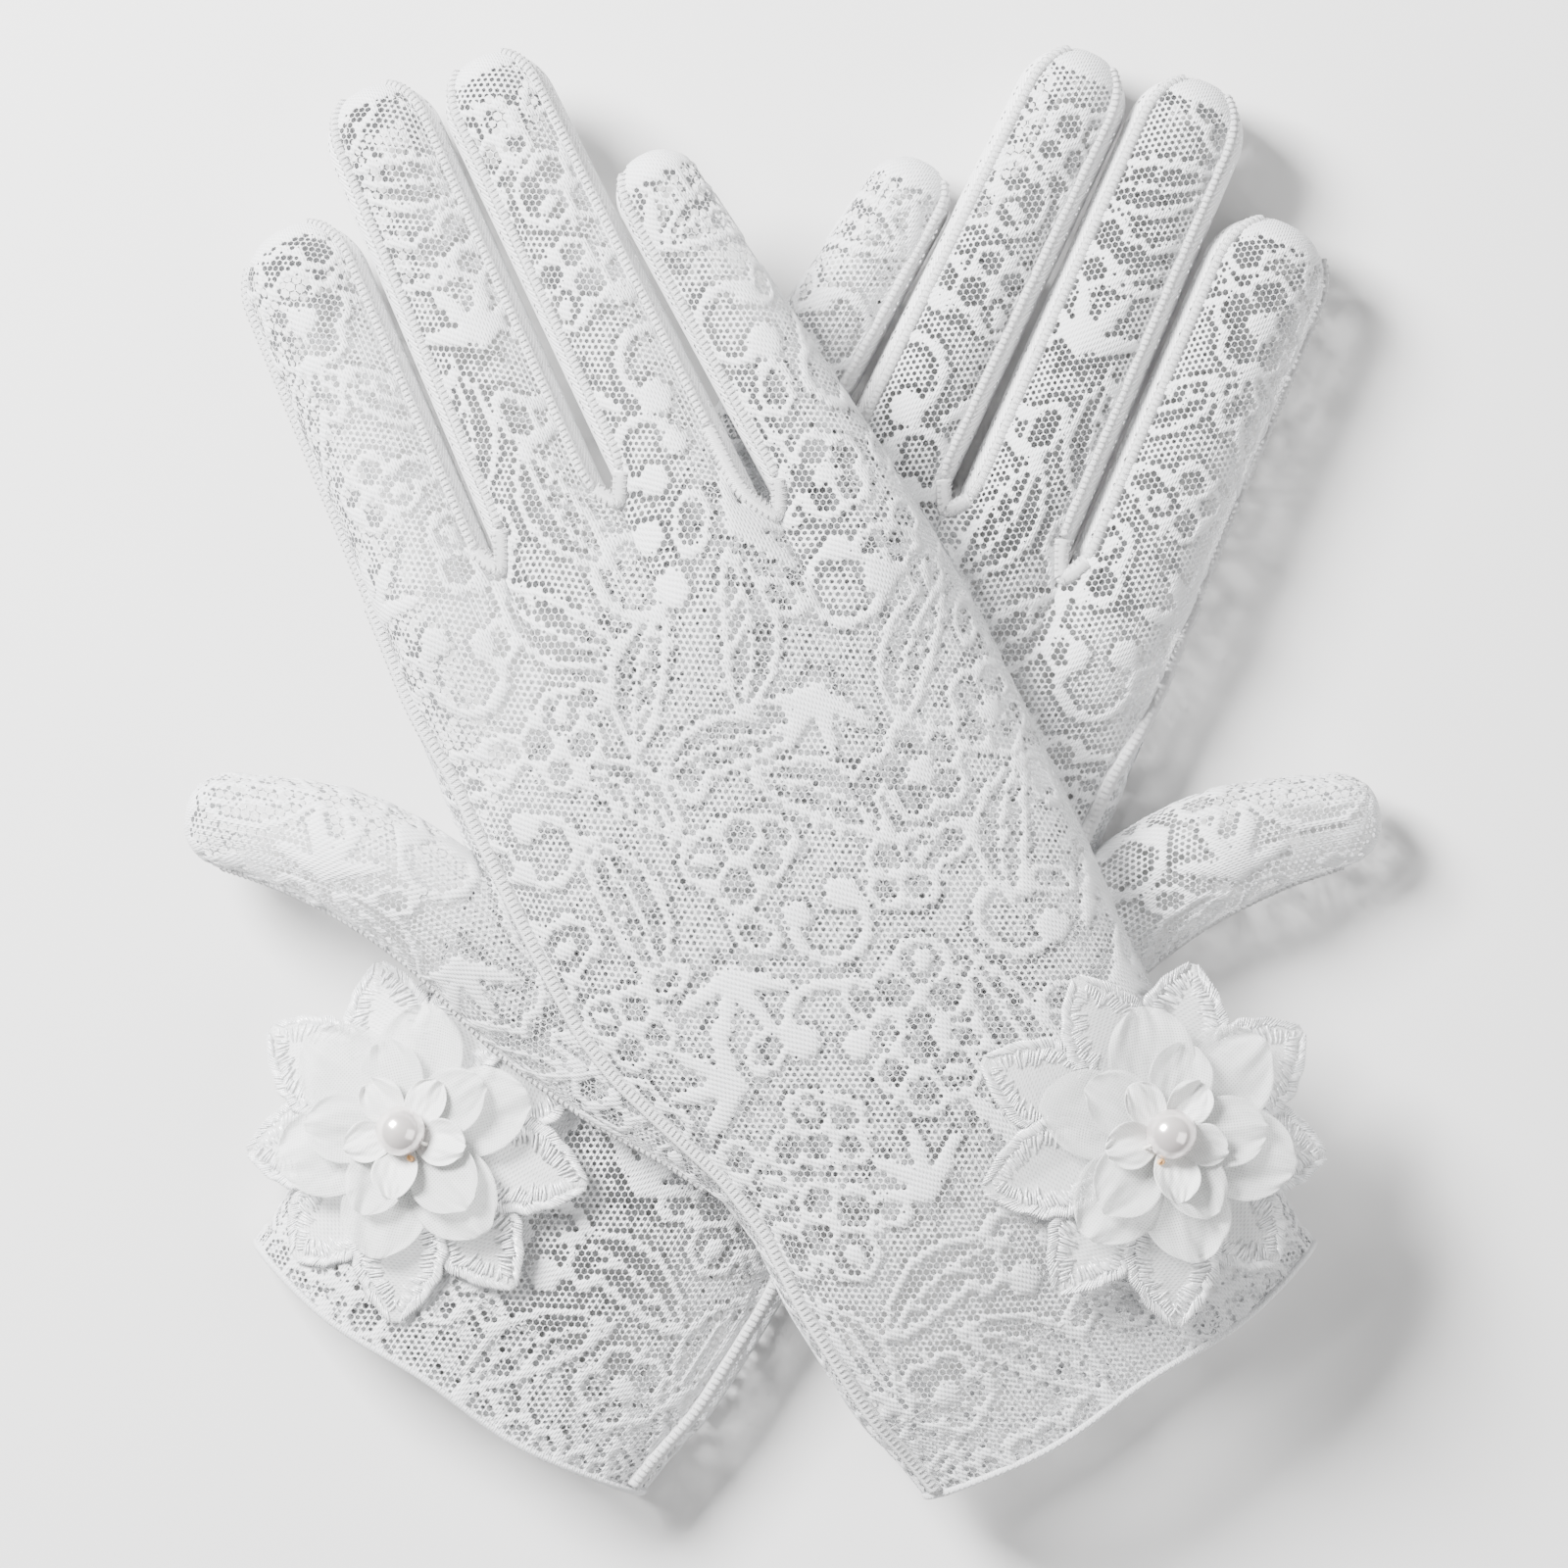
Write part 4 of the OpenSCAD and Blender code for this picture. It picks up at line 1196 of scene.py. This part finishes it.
def lower_petals(glove, flower, rng):
    """Nine pointed organza petals in two rows, with satin-stitched rims."""
    pieces, starts, ends = [], [], []
    for i in range(9):
        turn = 2 * math.pi * (i + 0.2) / 9
        under = i % 2
        length = 26 + rng.uniform(-1.4, 1.6)
        p = petal_points(rng, "pointed", length, 2.4, turn, 1.0, 0.5, 4.2, 0.22)
        p[..., 2] += 1.0 - 0.5 * under
        world = flower.resting(p, 0.7 + 0.5 * (1 - under))
        name = f"{glove.side}_lower_petal_{i + 1}"
        piece = sheet_grid(name, world, ORGANZA, weave_uv(p), turn_over=glove.mirrored)
        pieces.append(thicken(piece, 0.12))
        for side, inner, count, near, far in RIM_ROWS:
            rows = np.arange(6, len(world))
            back = rows - np.round(10 * smooth(rows / 40, 0.5, 1)).astype(int)
            rim, inside = world[rows, side], world[back, inner]
            steps = np.linspace(0, len(rim) - 1.01, count) + rng.uniform(-0.08, 0.08, count)
            steps = np.clip(steps, 0, len(rim) - 1.01)
            at = steps.astype(int)
            share = (steps - at)[:, None]
            edge_at = mix(rim[at], rim[at + 1], share)
            in_at = mix(inside[at], inside[at + 1], share)
            reach = np.linalg.norm(in_at - edge_at, axis=1)[:, None]
            toward = (in_at - edge_at) / np.maximum(reach, 1e-6)
            depth = rng.uniform(1.3, 2.2, (count, 1)) * MM
            first = np.minimum(depth * near * 2, reach * 0.5)
            last = np.minimum(depth * far, reach * 0.9)
            slant = np.gradient(edge_at, axis=0)
            slant /= np.maximum(np.linalg.norm(slant, axis=1)[:, None], 1e-9)
            lean = slant * (0.5 if far == 1 else -0.9) * MM
            long = (last - first)[:, 0] > 0.3 * MM
            starts.append((edge_at + toward * (first - 0.12 * MM))[long])
            ends.append((edge_at + toward * last - lean)[long])
    starts, ends = np.concatenate(starts), np.concatenate(ends)
    name = glove.side + "_petal_embroidery"
    # The rims' stitches carry the satin thread's painted glints and shade
    return pieces, stitches(name, starts, ends, flower.up(), STITCH_R * MM, 0.34 * MM, SATIN_PAINTED_GLINTS)


def cup_petals(glove, flower, rng, count, length, root, rise, cup, offset, material, label, height):
    """A ring of round petals, cupped upwards."""
    pieces = []
    for i in range(count):
        turn = 2 * math.pi * i / count + offset + rng.uniform(-0.12, 0.12)
        size = length * rng.uniform(0.93, 1.06)
        p = petal_points(rng, "round", size, root, turn, rise * rng.uniform(0.7, 1.25), cup, 0.8, 0.6)
        p[..., 2] += height + 0.35 * (i % 2)
        world = flower.resting(p, 2.0)
        name = f"{glove.side}_{label}_petal_{i + 1}"
        piece = sheet_grid(name, world, material, weave_uv(p), turn_over=glove.mirrored)
        pieces.append(thicken(piece, 0.08))
    return pieces


def pearl(glove, flower):
    """Round pearl with its drilled hole along the flower's x."""
    bore = 0.45
    hole = math.asin(bore / PEARL_R)
    turn = np.linspace(hole, math.pi - hole, 41)
    outer = np.stack([PEARL_R * np.cos(turn), PEARL_R * np.sin(turn)], -1)
    inner = np.stack([np.linspace(outer[-1, 0], outer[0, 0], 6)[1:-1], np.full(4, bore)], -1)
    profile = np.concatenate([outer, inner, outer[:1]])
    around = np.arange(64) * 2 * math.pi / 64
    x = profile[:, None, 0] * np.ones(64)
    y = profile[:, None, 1] * np.cos(around)
    z = profile[:, None, 1] * np.sin(around)
    points = flower.world(np.stack([x, y, z + PEARL_RISE], -1))
    return sheet_grid(glove.side + "_pearl_bead", points, NACRE, wrap=True, turn_over=not glove.mirrored)


def pearl_thread(glove, flower):
    """The thread that holds the pearl: up through the petals, through its hole and down again."""
    t = np.linspace(-1, 1, 41)
    x = 4.6 * np.sign(t) * np.abs(t) ** 0.8
    z = PEARL_RISE - 3.6 * smooth(np.abs(t), 0.8, 1.0)
    path = flower.world(np.stack([x, 0 * t, z], -1))
    thread = tube(glove.side + "_pearl_thread_loop", path, 0.3 * MM, flower.up() + [0, 0.3, 0], SEWING)
    turn = np.linspace(0, 2 * math.pi * 2.5, 60)
    coil = np.stack([
        -3.1 + 0.34 * np.cos(turn), -3.0 + 0.26 * np.sin(turn), 5.6 + 0.2 * turn / math.pi
    ], -1)
    knot = tube(glove.side + "_pearl_knot", flower.world(coil), 0.24 * MM, flower.up(), AMBER)
    return thread, knot


# ---------------------------------------------------------------- one glove


# CAD nodes of the strips along each finger
STRIP_NODES = ("index_fourchette", "middle_fourchettes", "ring_fourchettes", "little_fourchette")


def dress(glove, piece, slot, *nodes, tip=None):
    """Puts a piece on the hand's body and hides the CAD nodes it replaces; with a tip, its transform is
    baked into its mesh instead. The slot is not used.
    """
    if tip:
        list(glove.bends[tip])
        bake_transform(piece)
    else:
        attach(piece, glove.side + "_hand")
    if nodes:
        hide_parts(*(f"{glove.side}_{node}" for node in nodes))


def lace_panels(glove):
    """The lace of the hand and the fingers, back and palm."""
    # The palm takes the lace darkened by painted shade
    back, palm = panel(glove, True, LACE), panel(glove, False, SHADED_PALM_LACE)
    for label, group in (("back", back), ("palm", palm)):
        for part, piece in group.items():
            if part == "hand":
                dress(glove, piece, "lace", f"{label}_lace", f"finger_base_{label}s")
            else:
                dress(glove, piece, "lace", f"{part}_{label}", tip=part)


def finger_strips(glove):
    """The plain strips between the fingers, and the raised edges where they are sewn on."""
    for (k, _, part), piece in strips(glove, PLAIN).items():
        if part == "web":
            dress(glove, piece, "seam", "fourchettes")
        else:
            dress(glove, piece, "seam", STRIP_NODES[k], tip=FINGERS[k][0])
    for cut in range(len(WEB_V)):
        sides = []
        for k, step in ((cut, 1), (cut + 1, -1)):
            V = np.arange(WEB_V[cut] + 0.7, FINGER_END[k] - 4, 0.6)
            edges = finger_limits(glove, k, V, True)
            local = glove.joined(k, edges[1] if step > 0 else edges[0], V, True)
            out = glove.fingers[k][0] @ np.array([step * 0.8, 0, 0.6])
            sides.append(local[V < FINGER_START[k]])
            label = f"{glove.side}_{FINGERS[k][0]}_{'outer' if step > 0 else 'inner'}_strip_edge"
            for cord in cord_on(glove, label, local[V >= FINGER_START[k]] + 0.2 * out, out, 0.8, PIPING):
                dress(glove, cord, "seam", tip=FINGERS[k][0])
        # Round the web, from one finger to the other
        loop = np.concatenate([sides[0][::-1], sides[1]])
        for _ in range(14):
            loop[1:-1] = (loop[:-2] + 2 * loop[1:-1] + loop[2:]) / 4
        loop[:, 2] += 0.8
        label = f"{glove.side}_{FINGERS[cut][0]}_web_edge"
        for cord in cord_on(glove, label, loop, (0, 0.3, 1.0), 1.25, PIPING):
            dress(glove, cord, "seam")


def side_seam(glove):
    """Piping seam from the cuff up the thumb side, and on along the index finger."""
    out = np.array([-0.85, 0, 0.55])
    index_v = FINGER_START[0]
    for label, V, proud, radius, tip in (
        ("hand", np.arange(1.0, index_v + 0.5, 0.8), 0.5, 1.15, None),
        ("index", np.arange(index_v, FINGER_END[0] - 7, 0.8), 0.3, 0.85, "index"),
    ):
        name = f"{glove.side}_side_seam_{label}"
        for cord in cord_on(glove, name, seam_line(glove, V) + proud * out, out, radius, PIPING):
            dress(glove, cord, "seam", "index_seam" if tip else "side_seam", tip=tip)


def thumb_lace(glove):
    """The thumb's lace and the seam along its side."""
    for (part, kind), piece in thumb_pieces(glove, LACE).items():
        if part == "base":
            dress(glove, piece, "lace", "thumb_base")
        else:
            dress(glove, piece, "lace", f"thumb_{'back' if kind == 'top' else 'palm'}", tip="thumb")
    split = THUMB.split_s
    for part, start, end in (("base", 6, split + 0.5), ("tip", split, THUMB.body_s + 1)):
        S = np.arange(start, end, 0.8)
        local = glove.thumb(-THUMB.at(S)[2] * math.pi / 2, S, True)
        name = f"{glove.side}_thumb_seam_{part}"
        for cord in cord_on(glove, name, local, (-0.9, -0.3, 0.1), 0.6, PIPING):
            if part == "base":
                dress(glove, cord, "seam")
            else:
                dress(glove, cord, "seam", "thumb_seam", tip="thumb")


def whole_flower(glove, rng):
    """Petals, thread and pearl."""
    flower = Flower(glove)
    petals, rims = lower_petals(glove, flower, rng)
    for piece in [*petals, rims]:
        dress(glove, piece, "petal", "lower_petals")
    middle = cup_petals(glove, flower, rng, 6, 20.0, 0.8, 2.4, 0.6, 0.3, CHIFFON, "middle", 2.0)
    middle += cup_petals(glove, flower, rng, 5, 14.5, 0.6, 3.6, 1.1, 0.9, CHIFFON, "upper", 2.8)
    inner = cup_petals(glove, flower, rng, 5, 9.6, 0.5, 3.4, 1.0, 0.5, TWILL, "inner", 3.6)
    for label, group in (("middle", middle), ("inner", inner)):
        for piece in group:
            dress(glove, piece, "petal", label + "_petals")
    for piece in pearl_thread(glove, flower):
        dress(glove, piece, "thread", "pearl_thread")
    bead = pearl(glove, flower)
    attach(bead, glove.side + "_pearl")
    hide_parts(glove.side + "_pearl")


def hem(glove):
    """The cuff's edge turned up inside, rolled at the fold and sewn down with running stitches."""
    for back in (True, False):
        grid = Lattice(-60, 60, 0.4, HEM_HEIGHT, PITCH if back else PALM_PITCH)
        U, V = grid.centre.T

        def limits(v, back=back):
            if back:
                return HEM_SECTION.edge(HEM_SECTION.low, v), HEM_SECTION.edge(HEM_SECTION.high, v)
            return radial_edge(v) + 0.8, ulnar_edge(v) - 0.8

        def clamp(u, v, f, limits=limits):
            v = np.clip(v, 0.4, HEM_HEIGHT)
            lo, hi = limits(v)
            return np.clip(u, lo, hi), v

        def surface(u, v, f, back=back):
            if back:
                return glove.hand_back(u, v, HEM_SECTION)
            return glove.hand_palm(u, v, 1.0)

        lo, hi = limits(V)
        keep = (U > lo) & (U < hi) & (V > 0.4) & (V < HEM_HEIGHT)
        holes = lace_holes(U + 7, 24 - V, 0.0)
        name = f"{glove.side}_hem_{'back' if back else 'palm'}_strip"
        piece = knit(glove, name, grid, keep, np.zeros(len(U), int), clamp, surface, holes, LACE)
        dress(glove, piece, "lace", "hem_band")
    # The fold, round the cuff a little above its edge
    fold_v = 0.3
    degs = np.degrees(SECTION.angle(SECTION.us, np.full(SECTION.us.shape, fold_v)))
    turn = np.radians(np.linspace(1, 179, 150))
    back_u = np.interp(np.degrees(turn)[::-1], degs[::-1], SECTION.us[::-1])
    palm_u = np.linspace(radial_edge(fold_v) + 0.5, ulnar_edge(fold_v) - 0.5, 100)
    loop = np.concatenate([
        glove.hand_back(back_u, np.full(150, fold_v)), glove.hand_palm(palm_u, np.full(100, fold_v))
    ])
    roll = tube(glove.side + "_cuff_fold", glove.world(loop), 0.55 * MM, (0, 0, 1), LACE, closed=True)
    dress(glove, roll, "lace")
    run = np.arange(SECTION.edge(SECTION.low, 15.5) + 1, SECTION.edge(SECTION.high, 15.5) - 1, 2.1)
    place = np.full(len(run), 15.2)
    starts, ends = (glove.world(glove.hand_back(u, place)) for u in (run, run + 1.4))
    row = stitches(glove.side + "_hem_stitches", starts, ends, (0, 0, 1), STITCH_R * MM, 0.25 * MM, PIPING)
    dress(glove, row, "seam")


def build_glove(side):
    """All pieces of one glove."""
    glove = Glove(side)
    lace_panels(glove)
    finger_strips(glove)
    side_seam(glove)
    thumb_lace(glove)
    hem(glove)
    whole_flower(glove, np.random.default_rng(5))


build_glove("left")
build_glove("right")

# ---------------------------------------------------------------- floor, light and camera

bpy.ops.mesh.primitive_plane_add(size=6, location=(0, 0, -0.0006))
floor = bpy.context.object
floor.name = "floor"
floor_mat, _, _, floor_shader = new_material("floor_paper")
set_inputs(floor_shader, Base_Color=(0.74, 0.735, 0.73, 1), Roughness=0.9)
floor.data.materials.append(floor_mat)


def area_light(name, place, size, power):
    """A square lamp at a place, turned towards the middle."""
    data = bpy.data.lights.new(name, "AREA")
    data.size = size
    data.energy = power
    lamp = bpy.data.objects.new(name, data)
    lamp.location = place
    lamp.rotation_euler = (-Vector(place)).to_track_quat("-Z", "Y").to_euler()
    scene.collection.objects.link(lamp)


area_light("key", (-0.6, 0.5, 0.7), 0.4, 60)
area_light("fill", (0.8, -0.3, 0.7), 0.8, 8)
world_light = bpy.data.worlds.new("studio")
world_light.use_nodes = True
set_inputs(world_light.node_tree.nodes["Background"], Color=(1, 1, 1, 1), Strength=0.34)
scene.world = world_light

# The camera looks straight down from far off, as in the photo
lens = bpy.data.cameras.new("camera")
lens.lens = 240
lens.sensor_width = 36
lens.clip_start = 0.01
camera = bpy.data.objects.new("camera", lens)
camera.location = (0, 0, 1.62)
scene.collection.objects.link(camera)
scene.camera = camera
